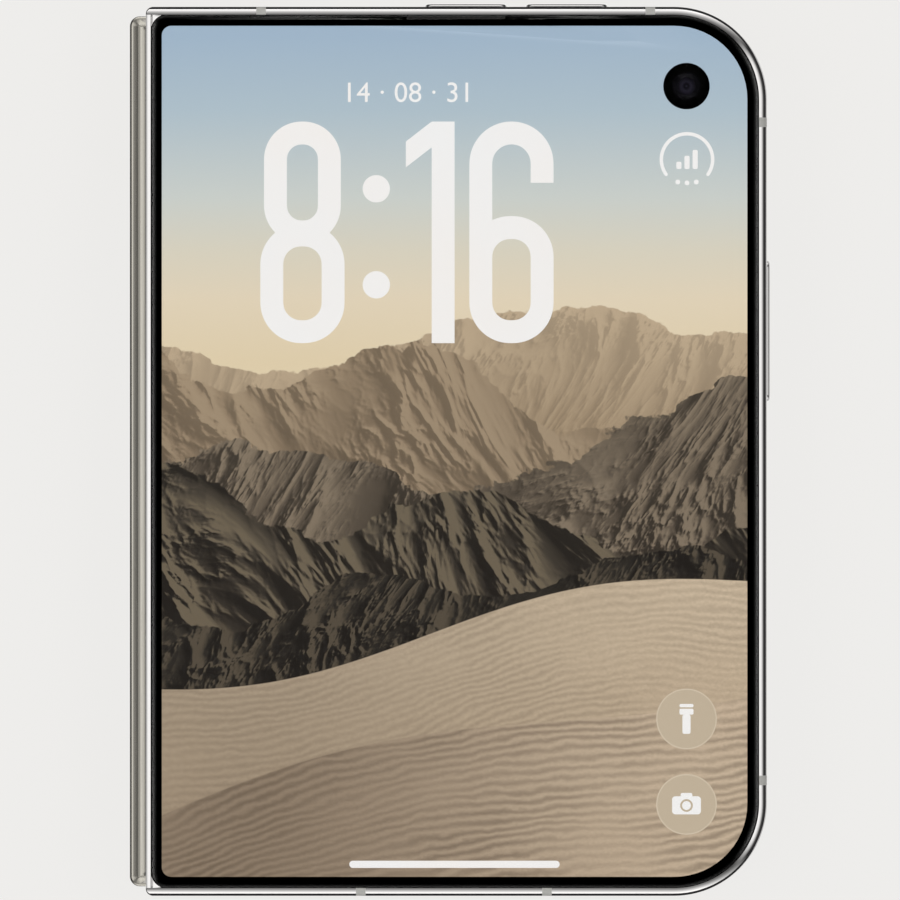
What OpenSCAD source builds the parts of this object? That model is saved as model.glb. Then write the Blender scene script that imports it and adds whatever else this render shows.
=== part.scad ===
// Book-style folding phone, folded, lying on its back with the cover display up.
// X runs from the spine to the free edge, Y to the top edge, Z away from the table.

/* [Case] */
// width of the case beside the spine
half_w = 84.2; // [76:0.2:100]
// height of the phone
case_h = 120.4; // [110:0.2:160]
// thickness of one half
half_t = 4.7; // [4.6:0.1:6]
// air between the halves when folded
fold_gap = 0.2; // [0.1:0.05:0.6]
// radius of the free corners
corner_r = 12.6; // [8:0.2:15]
// radius of the corners beside the spine
hinge_corner_r = 0.9; // [0.4:0.1:1.1]
// rounding of the metal band towards the outer face
edge_r = 1.0; // [0.4:0.1:1.1]
// wall of the metal band
band_t = 1.16; // [1.1:0.02:1.8]

/* [Spine] */
// how far the spine stands out beside the folded halves
spine_out = 2.1; // [1.9:0.1:2.8]
// how much shorter the spine is than the case at each end
spine_short = 1.26; // [1.26:0.02:2.2]
// wall of the spine cover
spine_wall = 0.5; // [0.4:0.05:0.7]
// skin of each half that passes outside the spine
hinge_skin = 1.0; // [0.9:0.05:1.3]
// air round the spine
hinge_clear = 0.1; // [0.08:0.01:0.15]
// radius of the hinge pins
pin_r = 0.35; // [0.25:0.05:0.4]
// radial clearance of a knuckle on its pin
pin_clear = 0.03; // [0.02:0.01:0.06]
// teeth on a full turn of a knuckle's gear
gear_teeth = 12; // [10:1:16]

/* [Glass and displays] */
// thickness of the cover glass and the rear glass
glass_t = 0.47; // [0.4:0.01:0.6]
// metal rim seen round the glass
rim_w = 1.1; // [1.05:0.05:1.6]
// black border between the glass edge and the lit cover display
border_w = 1.57; // [1.2:0.05:3]
// thickness of the folding inner display
flex_t = 0.32; // [0.25:0.01:0.4]
// radius of the folding display's bend, at the middle of its thickness
bend_r = 1.2; // [1:0.05:1.3]
// diameter of the round opening for the front camera
punch_d = 6.3; // [3:0.1:8]

/* [Buttons] */
// how far the keys stand out of the band
key_out = 0.5; // [0.3:0.05:0.8]
// travel of a key
key_travel = 0.25; // [0.15:0.05:0.3]
// length of a volume key
volume_len = 11.1; // [8:0.1:14]
// length of the side button
side_len = 19.1; // [12:0.1:26]
// thickness of a key
key_t = 2.1; // [1.6:0.1:2.2]

/* [Rear camera] */
// length of the camera plateau
plateau_len = 44; // [40:1:50]
// width of the camera plateau
plateau_w = 19; // [18:0.5:24]
// height of the plateau over the rear face
plateau_h = 1.3; // [0.8:0.1:2.5]
// outer diameter of a lens ring
ring_d = 14.6; // [12:0.2:16]
// height of a lens ring over the plateau
ring_h = 0.5; // [0.3:0.1:1]

/* [Hidden] */
$fn = 48;
tiny = 0.01;

// levels are counted from the fold plane, on the cover side
v_in = fold_gap / 2;
v_out = v_in + half_t;
v_skin = v_out - hinge_skin;
v_spine = v_skin - hinge_clear;
glass_proud = 0.05;
glass_top = v_out + glass_proud;
glass_bot = glass_top - glass_t;
mask_t = 0.06;
panel_t = 0.24;
panel_bot = glass_bot - mask_t - panel_t;
seat_drop = mask_t + 0.02;
ledge_bot = glass_bot - 0.7;
bezel_bot = v_in + 0.02;
bezel_top = bezel_bot + 0.25;
flex_bot = bezel_top + 0.01;
flex_top = flex_bot + flex_t;
plate_bot = flex_top + 0.05;
plate_top = plate_bot + 0.33;
lip_r = 0.3;

// plan
edge_gap = 0.1;
x_edge = spine_out + edge_gap;
x_free = spine_out + half_w;
y_top = case_h / 2;
y_wall = y_top - band_t;
y_spine = y_top - spine_short;
total_w = x_free + key_out;
total_h = case_h + key_out;
z_mid = v_out + plateau_h + ring_h;

// fold axes: each half turns about its own, a mirror pair about the fold plane
axis_x = (v_spine + spine_out - edge_gap) / 2;
axis_v = (v_spine - spine_out + edge_gap) / 2;
rim_x = axis_x - 0.35;
cavity_x = v_spine + spine_out - edge_gap + 0.3;
wall_t = 0.8;
inner_x = cavity_x + wall_t;

// bend of the folding display: a quarter circle, then an S that runs into the flat panel
bend_mid = flex_bot + flex_t / 2;
bend_run = 2.3;
bend_drop = bend_r - bend_mid;
bend_len = PI / 2 * bend_r + bend_run + 0.6 * bend_drop * bend_drop / bend_run;
flat_x = spine_out - edge_gap + bend_len;
tip_x = flat_x - bend_run - bend_r;
flex_y = y_spine - 2.6;

// end hinges, counted back from the end of the spine
cap_t = 0.45;
lug_t = 0.45;
play = 0.05;
knuckle_w = 1.0;
knuckle_y1 = y_spine - cap_t - lug_t - play;
knuckle_y0 = knuckle_y1 - knuckle_w;
lug_y0 = knuckle_y0 - play - lug_t;
lug_r = axis_v - 0.23;
arm_bot = bezel_top + 0.03;
arm_top = plate_top - 0.03;
foot_top = plate_top + 0.54;
foot_x = inner_x + 0.2;
foot_len = 6.2;
foot_y = y_wall - 4.84;
screw_x = [foot_x + 1.6, foot_x + 4.6];
screw_y = foot_y + 1.5;
gear_m = 2 * axis_v / gear_teeth;
gear_tip = axis_v + 0.85 * gear_m;
gear_root = axis_v - 1.2 * gear_m;

// glass and cover display
glass_x0 = spine_out + 0.84;
glass_x1 = x_free - rim_w;
glass_y = y_top - rim_w;
lit_x0 = glass_x0 + border_w - 0.15;
lit_x1 = glass_x1 - border_w;
lit_y = glass_y - border_w + 0.08;
camera_x = x_free - 10.9;
camera_y = y_top - 10.75;

// keys and port
key_v = (v_in + v_out) / 2;
key_gap = 0.08;
volume_x = [x_free - 40.76, x_free - 27.07];
side_y = y_top - 43.85;
port_x = (spine_out + x_free) / 2;
port_h = 3.14;
port_w = 8.94;
port_v = plate_top + 0.02 + port_h / 2;
band_gap_w = 1.3;
antenna_top = [spine_out + 15.7, x_free - 15.8];
antenna_side = y_top - 15.65;
antenna_bottom = [port_x - 12.9, port_x + 12.3];

// inner pieces keep their distance from the ends of the case
board_y = y_wall - 9;
cell_y0 = -y_wall + 11;
foot_end = -y_wall + 1.6;
cable_y = -0.37 * y_top;
cable_w = 14;

// rear camera
plateau_x = x_free - 5.5 - plateau_len / 2;
plateau_y = y_top - 5.5 - plateau_w / 2;
lens_x = [plateau_x + (plateau_len - plateau_w) / 2, plateau_x + (plateau_len - plateau_w) / 2 - 17];
flash_x = plateau_x - (plateau_len - plateau_w) / 2 - 2;

metal = [0.88, 0.87, 0.85];
satin = [0.72, 0.69, 0.65];
black = [0.04, 0.04, 0.05];
steel = [0.62, 0.62, 0.63];
cell = [0.16, 0.16, 0.17];

// from the phone's own coordinates to the part's frame
module placed() {
  translate([-total_w / 2, -key_out / 2, z_mid]) children();
}

module rear_side() {
  placed() mirror([0, 0, 1]) children();
}

module both_ends() {
  children();
  mirror([0, 1, 0]) children();
}

// a slab outline with two large corners on the free side and two small ones by the spine
module outline(x0, x1, hy, r, r0) {
  difference() {
    union() {
      translate([x0, -hy]) square([x1 - x0 - r, 2 * hy]);
      translate([x0, -hy + r]) square([x1 - x0, 2 * (hy - r)]);
      for (s = [-1, 1]) translate([x1 - r, s * (hy - r)]) circle(r = r);
    }
    if (r0 > 0) for (s = [0, 1]) mirror([0, s]) difference() {
      translate([x0 - 1, hy - r0]) square([r0 + 1, r0 + 1]);
      translate([x0 + r0, hy - r0]) circle(r = r0);
    }
  }
}

module slab(v0, v1, x0, x1, hy, r, r0 = 0) {
  translate([0, 0, v0]) linear_extrude(v1 - v0) outline(x0, x1, hy, r, r0);
}

module block(x0, x1, y0, y1, v0, v1) {
  translate([x0, y0, v0]) cube([x1 - x0, y1 - y0, v1 - v0]);
}

// a section drawn in x and level, run along y
module along_y(y0, y1) {
  translate([0, y1, 0]) rotate([90, 0, 0]) linear_extrude(y1 - y0) children();
}

module stadium(len, t) {
  square([len - t, t], center = true);
  for (s = [-1, 1]) translate([s * (len - t) / 2, 0]) circle(d = t);
}

// ---- metal band: one section run round top, free side and bottom ----

module band_section() {
  difference() {
    intersection() {
      union() {
        translate([0, v_in + lip_r]) square([band_t, half_t - lip_r - edge_r]);
        translate([lip_r, v_in]) square([band_t - lip_r, lip_r + tiny]);
        translate([edge_r, v_out - edge_r - tiny]) square([band_t, edge_r + tiny]);
        translate([lip_r, v_in + lip_r]) circle(r = lip_r);
        translate([edge_r, v_out - edge_r]) circle(r = edge_r);
      }
      translate([0, v_in]) square([band_t, half_t]);
    }
    translate([rim_w - 0.03, glass_bot - seat_drop]) square([band_t, glass_t + 1]);
    translate([0.9, 0]) square([band_t, bezel_top + 0.02]);
  }
}

module ledge_section() {
  translate([band_t - tiny, ledge_bot]) square([1.16, glass_bot - seat_drop - ledge_bot]);
}

module run_round(x0) {
  run = x_free - corner_r - x0;
  translate([x0, y_top, 0]) rotate([90, 0, 90]) linear_extrude(run) mirror([1, 0]) children();
  translate([x0, -y_top, 0]) rotate([90, 0, 90]) linear_extrude(run) children();
  translate([x_free, y_top - corner_r, 0]) rotate([90, 0, 0])
    linear_extrude(2 * (y_top - corner_r)) mirror([1, 0]) children();
  for (s = [0, 1]) mirror([0, s, 0]) translate([x_free - corner_r, y_top - corner_r, 0])
    rotate_extrude(angle = 90) translate([corner_r, 0]) mirror([1, 0]) children();
}

// slots through the band where the antenna bands sit, or the bands themselves
module antenna_cuts() {
  for (x = antenna_top) block(x - band_gap_w / 2, x + band_gap_w / 2, y_wall, y_top + 1, 0, v_out + 1);
  for (x = antenna_bottom)
    block(x - band_gap_w / 2, x + band_gap_w / 2, -y_top - 1, -y_wall, 0, v_out + 1);
  for (s = [-1, 1]) block(x_free - band_t, x_free + 1, s * antenna_side - band_gap_w / 2,
    s * antenna_side + band_gap_w / 2, 0, v_out + 1);
}

module antenna_inserts() {
  for (x = antenna_top) translate([x - band_gap_w / 2, y_top, 0]) rotate([90, 0, 90])
    linear_extrude(band_gap_w) mirror([1, 0]) band_section();
  for (x = antenna_bottom) translate([x - band_gap_w / 2, -y_top, 0]) rotate([90, 0, 90])
    linear_extrude(band_gap_w) band_section();
  for (s = [-1, 1]) translate([x_free, s * antenna_side + band_gap_w / 2, 0]) rotate([90, 0, 0])
    linear_extrude(band_gap_w) mirror([1, 0]) band_section();
}

// band, glass ledge and the pads that the hinge knuckles are screwed to
module half_frame() {
  difference() {
    union() {
      run_round(x_edge) band_section();
      run_round(inner_x + 0.05) ledge_section();
      both_ends() {
        block(foot_x, foot_x + foot_len, foot_y, y_wall + tiny, foot_top + 0.03, ledge_bot + tiny);
        block(x_edge, glass_x0 - 0.04, y_wall - 0.18, y_wall + tiny, v_skin, v_out);
      }
    }
    antenna_cuts();
    both_ends() {
      translate([0, 0, -1]) linear_extrude(v_out + 2) difference() {
        translate([x_edge - 1, y_top - hinge_corner_r])
          square([hinge_corner_r + 1, hinge_corner_r + 1]);
        translate([x_edge + hinge_corner_r, y_top - hinge_corner_r]) circle(r = hinge_corner_r);
      }
      // the inner corner turns on the fold axis without touching the other half
      along_y(y_wall - 1, y_top + 1) difference() {
        translate([x_edge - 1, -1]) square([axis_x - x_edge + 1, axis_v + 1]);
        translate([axis_x, axis_v]) circle(r = axis_v - 0.05);
      }
      for (x = screw_x) translate([x, screw_y, foot_top]) cylinder(r = 0.4, h = 1.4);
    }
  }
}

// hinge-side member of each half: outer strip, skin over the spine and the wall behind it
module hinge_rail(skin_top) {
  rail_y = y_wall - 0.22;
  strip_r = 0.35;
  difference() {
    along_y(-rail_y, rail_y) {
      translate([x_edge, v_skin]) square([glass_x0 - 0.04 - x_edge, hinge_skin - strip_r]);
      translate([x_edge + strip_r, v_skin])
        square([glass_x0 - 0.04 - x_edge - strip_r, hinge_skin]);
      translate([x_edge + strip_r, v_out - strip_r]) circle(r = strip_r);
      translate([x_edge, v_skin]) square([inner_x - x_edge, skin_top - v_skin]);
      translate([cavity_x, plate_top]) square([wall_t, v_skin - plate_top + tiny]);
    }
    // window for the cable between the halves
    block(cavity_x - 1, inner_x + 1, cable_y - cable_w / 2 - 1, cable_y + cable_w / 2 + 1,
      plate_top + 0.5, v_skin - 0.5);
    // weight-saving windows along the wall
    for (f = [-0.7, 0.1, 0.35, 0.6]) block(cavity_x - 1, inner_x + 1, f * y_top - 4.5, f * y_top + 4.5,
      plate_top + 0.7, v_skin - 0.7);
  }
}

// ---- folding inner display and its frame ----

module inner_bezel() {
  r = corner_r - 0.92;
  y0 = y_top - 0.92;
  difference() {
    slab(bezel_bot, bezel_top, spine_out + 1.5, x_free - 0.92, y0, r);
    translate([0, 0, bezel_bot - 1]) linear_extrude(3)
      outline(0, x_free - 3.5, flex_y - 0.3, corner_r - 3.5, 0);
  }
}

module inner_panel() {
  slab(flex_bot, flex_top, flat_x, x_free - 2.4, flex_y, corner_r - 2.4);
}

module support_plate() {
  difference() {
    slab(plate_bot, plate_top, cavity_x + 0.1, x_free - band_t - 0.3, lug_y0 - 0.1, corner_r - 2.6);
    for (y = [-1, 1]) translate([x_free - 22, y * y_top / 2, plate_bot - 1]) cylinder(r = 3, h = 3);
    block(cavity_x - 1, cavity_x + 1.4, cable_y - cable_w / 2 - 1, cable_y + cable_w / 2 + 1,
      plate_bot - 1, plate_top + 1);
  }
}

// half of the bend, from the flat panel to the tip on the fold plane
function bend_line(k) =
  k <= 10
    ? [tip_x + bend_r - bend_r * cos(9 * k), bend_r * sin(9 * k)]
    : [tip_x + bend_r + bend_run * (k - 10) / 8,
       bend_mid + bend_drop * (1 + cos(22.5 * (k - 10))) / 2];

function bend_normal(k) =
  k <= 10
    ? [-cos(9 * k), sin(9 * k)]
    : let (s = -bend_drop * PI / (2 * bend_run) * sin(22.5 * (k - 10)), n = sqrt(1 + s * s))
      [-s / n, 1 / n];

module display_bend() {
  along_y(-flex_y, flex_y) polygon(concat(
    [for (k = [0:18]) bend_line(k) + bend_normal(k) * (flex_t / 2)],
    [for (k = [18:-1:0]) bend_line(k) - bend_normal(k) * (flex_t / 2)]));
}

// ---- hinge ----

// spine section, r shorter than the outer skin by d, cut off at x1
module spine_section(d, x1) {
  intersection() {
    union() {
      translate([d, -axis_v]) square([axis_x, 2 * axis_v]);
      for (s = [-1, 1]) translate([axis_x, s * axis_v]) circle(r = axis_x - d, $fn = 96);
    }
    translate([0, -v_spine]) square([x1, 2 * v_spine]);
  }
}

module spine_cover() {
  end_r = 1.6;
  color(satin) placed() intersection() {
    union() {
      along_y(-y_spine, y_spine) difference() {
        spine_section(0, rim_x);
        spine_section(spine_wall, rim_x + 1);
      }
      both_ends() along_y(y_spine - cap_t, y_spine) spine_section(0, x_edge - 0.05);
    }
    translate([0, 0, -v_spine - 1]) linear_extrude(2 * v_spine + 2) difference() {
      translate([-1, -y_spine]) square([rim_x + 1, 2 * y_spine]);
      for (s = [0, 1]) mirror([0, s]) difference() {
        translate([-2, y_spine - end_r]) square([2 + end_r, end_r + 1]);
        translate([end_r, y_spine - end_r]) circle(r = end_r);
      }
    }
  }
}

// machined base inside the spine, with the lugs that hold the pins
module hinge_base() {
  base_x = rim_x - 0.1;
  y1 = y_spine - cap_t;
  color(steel) placed() difference() {
    union() {
      along_y(-y1, y1) spine_section(spine_wall, base_x);
      both_ends() along_y(lug_y0, y1) {
        translate([base_x - 0.3, -axis_v]) square([axis_x - base_x + 0.3, 2 * axis_v]);
        for (s = [-1, 1]) translate([axis_x, s * axis_v]) circle(r = lug_r);
      }
    }
    both_ends() {
      block(axis_x - gear_tip - 0.1, axis_x + 2, knuckle_y0 - play, knuckle_y1 + play,
        -axis_v - 1.2, axis_v + 1.2);
      for (s = [-1, 1]) translate([axis_x, lug_y0 - 1, s * axis_v]) rotate([-90, 0, 0])
        cylinder(r = pin_r, h = 6);
    }
    // pockets between the ribs
    for (f = [-0.84, -0.66, 0.16, 0.34, 0.52, 0.7, 0.88]) for (s = [-1, 1])
      block(spine_wall + 0.5, base_x + 1, f * flex_y - 4.4, f * flex_y + 4.4,
        s > 0 ? 0.35 : -2.3, s > 0 ? 2.3 : -0.35);
    // channel for the cable
    block(spine_wall + 0.35, base_x + 1, cable_y - cable_w / 2 - 0.5, cable_y + cable_w / 2 + 0.5,
      -2.6, 2.6);
    for (f = [-0.15, -0.02]) translate([spine_wall + 0.4, f * flex_y, 0]) rotate([0, 90, 0])
      cylinder(r = 1.1, h = 3);
  }
}

module hinge_pins() {
  color(steel) placed() both_ends() for (s = [-1, 1])
    translate([axis_x, lug_y0, s * axis_v]) rotate([-90, 0, 0])
      cylinder(r = pin_r, h = y_spine - cap_t - lug_y0);
}

function tooth_inv(a) = tan(a) * 180 / PI - a;

// half of a tooth's width, in degrees, at radius r
function tooth_half(r) =
  let (base = axis_v * cos(25), at = r > base ? acos(base / r) : 0)
  82 / gear_teeth + tooth_inv(25) - tooth_inv(at);

module gear_tooth() {
  radii = [for (k = [0:4]) gear_root - 0.03 + (gear_tip - gear_root + 0.03) * k / 4];
  polygon(concat(
    [for (r = radii) r * [cos(tooth_half(r)), -sin(tooth_half(r))]],
    [for (k = [4:-1:0]) radii[k] * [cos(tooth_half(radii[k])), sin(tooth_half(radii[k]))]]));
}

// knuckle: toothed hub on the pin, arm over the rim of the spine, foot screwed to the frame
module knuckles(first_tooth) {
  both_ends() difference() {
    union() {
      along_y(knuckle_y0, knuckle_y1) {
        translate([axis_x, axis_v]) circle(r = gear_root);
        translate([axis_x, axis_v]) for (k = [0:4])
          rotate(first_tooth - k * 360 / gear_teeth) gear_tooth();
        translate([axis_x, arm_bot]) square([foot_x + 1.5 - axis_x, arm_top - arm_bot]);
      }
      block(foot_x, foot_x + 1.5, knuckle_y0, knuckle_y1, arm_bot, plate_top + 0.1);
      block(foot_x, foot_x + foot_len, foot_y, y_wall - 0.1, plate_top + 0.02, foot_top);
    }
    translate([axis_x, knuckle_y0 - 1, axis_v]) rotate([-90, 0, 0])
      cylinder(r = pin_r + pin_clear, h = knuckle_w + 2);
    for (x = screw_x) translate([x, screw_y, plate_top - 1]) {
      cylinder(r = 0.4, h = 3);
      cylinder(r = 0.8, h = 1.3);
    }
  }
}

module knuckle_screws() {
  both_ends() for (x = screw_x) translate([x, screw_y, 0]) {
    translate([0, 0, plate_top + 0.05]) cylinder(r = 0.8, h = 0.25);
    translate([0, 0, plate_top + 0.25]) cylinder(r = 0.4, h = foot_top + 1.2 - plate_top - 0.25);
  }
}

// cable between the boards of the two halves, folded round the display bend
module hinge_flex() {
  fx = spine_wall + 0.6;
  fv = 2.0;
  t = 0.12;
  color([0.72, 0.45, 0.12]) placed() along_y(cable_y - cable_w / 2, cable_y + cable_w / 2) {
    translate([fx, -fv + 1]) square([t, 2 * fv - 2]);
    for (s = [0, 1]) mirror([0, s]) {
      translate([fx + 1, fv - t]) square([inner_x + 2 - fx, t]);
      intersection() {
        translate([fx, fv - 1]) square([1, 1]);
        translate([fx + 1, fv - 1]) difference() {
          circle(r = 1);
          circle(r = 1 - t);
        }
      }
    }
  }
}

// ---- cover half ----

module cover_frame() {
  color(metal) placed() half_frame();
}

module cover_hinge_rail() {
  color(metal) placed() hinge_rail(panel_bot - 0.02);
}

module cover_antenna_bands() {
  color([0.8, 0.8, 0.78]) placed() antenna_inserts();
}

module cover_glass() {
  slot_len = 13.4;
  color([0.1, 0.1, 0.11]) placed() difference() {
    slab(glass_bot, glass_top, glass_x0, glass_x1, glass_y, corner_r - rim_w, 2.1);
    translate([port_x - slot_len / 2, glass_y - 0.6, glass_bot - 1]) cube([slot_len, 0.42, 3]);
  }
}

module cover_mask() {
  color(black) placed() difference() {
    slab(glass_bot - mask_t, glass_bot, glass_x0, glass_x1, glass_y, corner_r - rim_w, 2.1);
    translate([0, 0, glass_bot - 1]) linear_extrude(2)
      outline(lit_x0, lit_x1, lit_y, corner_r - rim_w - border_w, 1.3);
    translate([port_x - 6.9, glass_y - 0.65, glass_bot - 1]) cube([13.8, 0.52, 3]);
  }
}

module cover_display() {
  color([0.55, 0.52, 0.46]) placed() difference() {
    slab(panel_bot, glass_bot - mask_t, lit_x0 - 0.3, lit_x1 + 0.2, lit_y + 0.2,
      corner_r - rim_w - border_w + 0.2, 1.6);
    translate([camera_x, camera_y, panel_bot - 1]) cylinder(d = punch_d, h = 3);
  }
}

module front_camera() {
  color(black) placed() translate([camera_x, camera_y, 0]) difference() {
    union() {
      translate([0, 0, foot_top + 0.2]) linear_extrude(panel_bot - foot_top - 0.4)
        square(7.4, center = true);
      cylinder(d = punch_d - 0.3, h = glass_bot - mask_t - 0.05);
    }
    translate([0, 0, -1]) cylinder(d = 9, h = foot_top + 1.2 - 0.1);
    translate([0, 0, glass_bot - mask_t - 0.45]) cylinder(r1 = 1.2, r2 = 1.73, h = 0.41);
  }
}

module earpiece_mesh() {
  color(steel) placed() translate([port_x, glass_y - 0.39, glass_bot - mask_t + 0.01])
    linear_extrude(glass_t - 0.1) difference() {
      stadium(13.3, 0.38);
      for (k = [-9:9]) translate([k * 0.68, 0]) circle(d = 0.2, $fn = 24);
    }
}

module earpiece_speaker() {
  color(cell) placed() translate([0, y_wall - 6.2, 0]) difference() {
    slab(foot_top, panel_bot - 0.15, port_x - 8, port_x + 8, 3.4, 1.2, 1.2);
    slab(foot_top - 1, foot_top + 0.3, port_x - 6, port_x + 6, 1.8, 0.6, 0.6);
  }
}

// a pouch cell with rounded long sides and a sealed edge
module battery(x0, x1, y0, y1, v0, v1) {
  r = (v1 - v0) / 2;
  translate([x0 + r, 0, 0]) along_y(y0, y1) {
    translate([0, v0]) square([x1 - x0 - 2 * r, v1 - v0]);
    for (x = [0, x1 - x0 - 2 * r]) translate([x, v0 + r]) circle(r = r);
  }
  block(x0 + 3, x1 - 3, y1, y1 + 3, v0 + 0.4, v0 + 1.1);
}

module cover_battery() {
  color(cell) placed()
    battery(inner_x + 5, x_free - 12, cell_y0, board_y - 20, plate_top + 0.1, panel_bot - 0.1);
}

module cover_board() {
  color([0.08, 0.2, 0.14]) placed() difference() {
    union() {
      block(inner_x + 6, camera_x - 6, board_y - 14, board_y - 5, foot_top, foot_top + 0.5);
      for (x = [12, 30]) block(inner_x + x, inner_x + x + 13, board_y - 12.5, board_y - 6.5,
        foot_top + 0.5, foot_top + 1.1);
    }
    for (x = [inner_x + 8, camera_x - 8]) translate([x, board_y - 9.5, 0]) cylinder(r = 0.7, h = 9);
  }
}

module cover_plate() {
  color(steel) placed() support_plate();
}

module cover_inner_panel() {
  color(black) placed() inner_panel();
}

module cover_inner_bezel() {
  color(black) placed() inner_bezel();
}

module cover_knuckles() {
  color(steel) placed() knuckles(270);
}

module cover_screws() {
  color(steel) placed() knuckle_screws();
}

module cover_bend() {
  color(black) placed() display_bend();
}

// ---- rear half ----

module key_slot(len) {
  translate([0, 0, -1]) linear_extrude(3) stadium(len + 2 * key_gap, key_t + 2 * key_gap);
}

module rear_frame() {
  color(metal) rear_side() difference() {
    half_frame();
    for (x = volume_x) translate([x, y_top, key_v]) rotate([90, 0, 0]) key_slot(volume_len);
    translate([x_free, side_y, key_v]) rotate([90, 0, -90]) key_slot(side_len);
    translate([port_x, -y_wall + 0.5, port_v]) rotate([90, 0, 0])
      linear_extrude(3) stadium(port_w, port_h);
    block(port_x - port_w / 2 - 0.2, port_x + port_w / 2 + 0.2, -y_wall, -y_wall + 1.4,
      ledge_bot - 0.3, glass_bot);
    for (k = [0:4]) for (s = [-1, 1]) translate([port_x + s * (15.5 + 2.2 * k), -y_wall + 0.5, key_v])
      rotate([90, 0, 0]) cylinder(d = 1.2, h = 3);
  }
}

module rear_hinge_rail() {
  color(metal) rear_side() hinge_rail(glass_bot - 0.05);
}

module rear_antenna_bands() {
  color([0.8, 0.8, 0.78]) rear_side() antenna_inserts();
}

module rear_glass() {
  color([0.9, 0.9, 0.89]) rear_side() difference() {
    slab(glass_bot, glass_top, glass_x0, glass_x1, glass_y, corner_r - rim_w, 2.1);
    for (x = lens_x) translate([x, plateau_y, 0]) cylinder(d = 9.4, h = 20);
  }
}

// raised island of the cameras, one rounded section turned at the ends and run between them
module plateau_edge() {
  r = 0.7;
  w = plateau_w / 2;
  translate([0, glass_top]) square([w, v_out - glass_top + plateau_h - r]);
  translate([0, glass_top]) square([w - r, v_out - glass_top + plateau_h]);
  intersection() {
    translate([w - r, v_out + plateau_h - r]) circle(r = r);
    translate([0, glass_top]) square([w, plateau_h]);
  }
}

module camera_plateau() {
  run = plateau_len - plateau_w;
  color([0.86, 0.86, 0.85]) rear_side() difference() {
    translate([plateau_x, plateau_y, 0]) {
      for (s = [0, 1]) mirror([s, 0, 0]) translate([run / 2, 0, 0]) rotate([0, 0, -90])
        rotate_extrude(angle = 180) plateau_edge();
      translate([-run / 2, 0, 0]) rotate([90, 0, 90]) linear_extrude(run) {
        plateau_edge();
        mirror([1, 0]) plateau_edge();
      }
    }
    for (x = lens_x) translate([x, plateau_y, 0]) cylinder(d = 9.4, h = 20);
    translate([flash_x, plateau_y + 3, v_out + plateau_h - 0.6]) cylinder(d = 5, h = 2);
    translate([flash_x, plateau_y - 4, v_out + plateau_h - 0.6]) cylinder(d = 0.8, h = 2);
  }
}

module lens_rings() {
  color(steel) rear_side() for (x = lens_x) translate([x, plateau_y, 0])
    rotate_extrude() difference() {
      union() {
        translate([5.4, v_out + plateau_h]) square([ring_d / 2 - 5.4, ring_h - 0.2]);
        translate([5.4, v_out + plateau_h]) square([ring_d / 2 - 5.6, ring_h]);
        translate([ring_d / 2 - 0.2, v_out + plateau_h + ring_h - 0.2]) circle(r = 0.2);
      }
      translate([5, v_out + plateau_h + 0.1]) square([1.1, ring_h]);
    }
}

module lens_glasses() {
  color([0.1, 0.1, 0.12]) rear_side() for (x = lens_x)
    translate([x, plateau_y, v_out + plateau_h + 0.1]) cylinder(d = 12.1, h = ring_h - 0.2);
}

module rear_cameras() {
  color(black) rear_side() for (x = lens_x) translate([x, plateau_y, 0]) difference() {
    union() {
      translate([0, 0, foot_top]) linear_extrude(glass_bot - foot_top - 0.2) square(11.5, center = true);
      translate([0, 0, foot_top]) cylinder(d = 9, h = v_out + plateau_h - foot_top - 0.1);
    }
    translate([0, 0, v_out + plateau_h - 1.3]) cylinder(r1 = 1.6, r2 = 3.4, h = 1.3);
  }
}

module flash_window() {
  color([0.95, 0.92, 0.8]) rear_side() translate([flash_x, plateau_y + 3, v_out + plateau_h - 0.6])
    cylinder(d = 5, h = 0.55);
}

module logic_board() {
  color([0.06, 0.12, 0.1]) rear_side() difference() {
    union() {
      block(inner_x + 9, lens_x[1] - 8, board_y - 16, board_y, foot_top, foot_top + 0.6);
      block(inner_x + 9, inner_x + 23, cell_y0 + 2, board_y - 15.9, foot_top, foot_top + 0.6);
    }
    for (y = [cell_y0 + 4, board_y - 3]) translate([inner_x + 11, y, 0]) cylinder(r = 0.8, h = 9);
  }
}

module shield_cans() {
  v1 = foot_top + 0.62;
  color(steel) rear_side() {
    block(inner_x + 10, inner_x + 22, cell_y0 + 8, -8, v1, v1 + 1.1);
    block(inner_x + 10, inner_x + 22, -4, board_y - 24, v1, v1 + 1.1);
    block(inner_x + 13, lens_x[1] - 11, board_y - 13, board_y - 4, v1, v1 + 1.1);
  }
}

module rear_battery() {
  color(cell) rear_side()
    battery(inner_x + 26, x_free - 7, cell_y0 + 2, board_y - 26, plate_top + 0.1, glass_bot - 0.15);
}

module usb_port() {
  color(steel) rear_side() translate([port_x, 0, port_v]) {
    translate([0, -y_top + 7.2, 0]) rotate([90, 0, 0]) difference() {
      linear_extrude(7.15) stadium(port_w, port_h);
      translate([0, 0, 0.6]) linear_extrude(8) stadium(port_w - 0.6, port_h - 0.6);
    }
    translate([-3.3, -y_top + 1.1, -0.35]) cube([6.6, 5.6, 0.7]);
  }
}

module loudspeaker() {
  color(cell) rear_side() difference() {
    block(port_x + 13, port_x + 27, foot_end, foot_end + 8.4, foot_top, glass_bot - 0.8);
    block(port_x + 15, port_x + 25, foot_end - 1, foot_end + 0.8, foot_top + 0.4, glass_bot - 1.1);
  }
}

module haptic_motor() {
  color(steel) rear_side() {
    block(port_x - 26, port_x - 12, foot_end, foot_end + 7.4, foot_top, foot_top + 1.7);
    block(port_x - 24, port_x - 14, foot_end + 1.6, foot_end + 5.8, foot_top + 1.7, foot_top + 1.95);
  }
}

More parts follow.
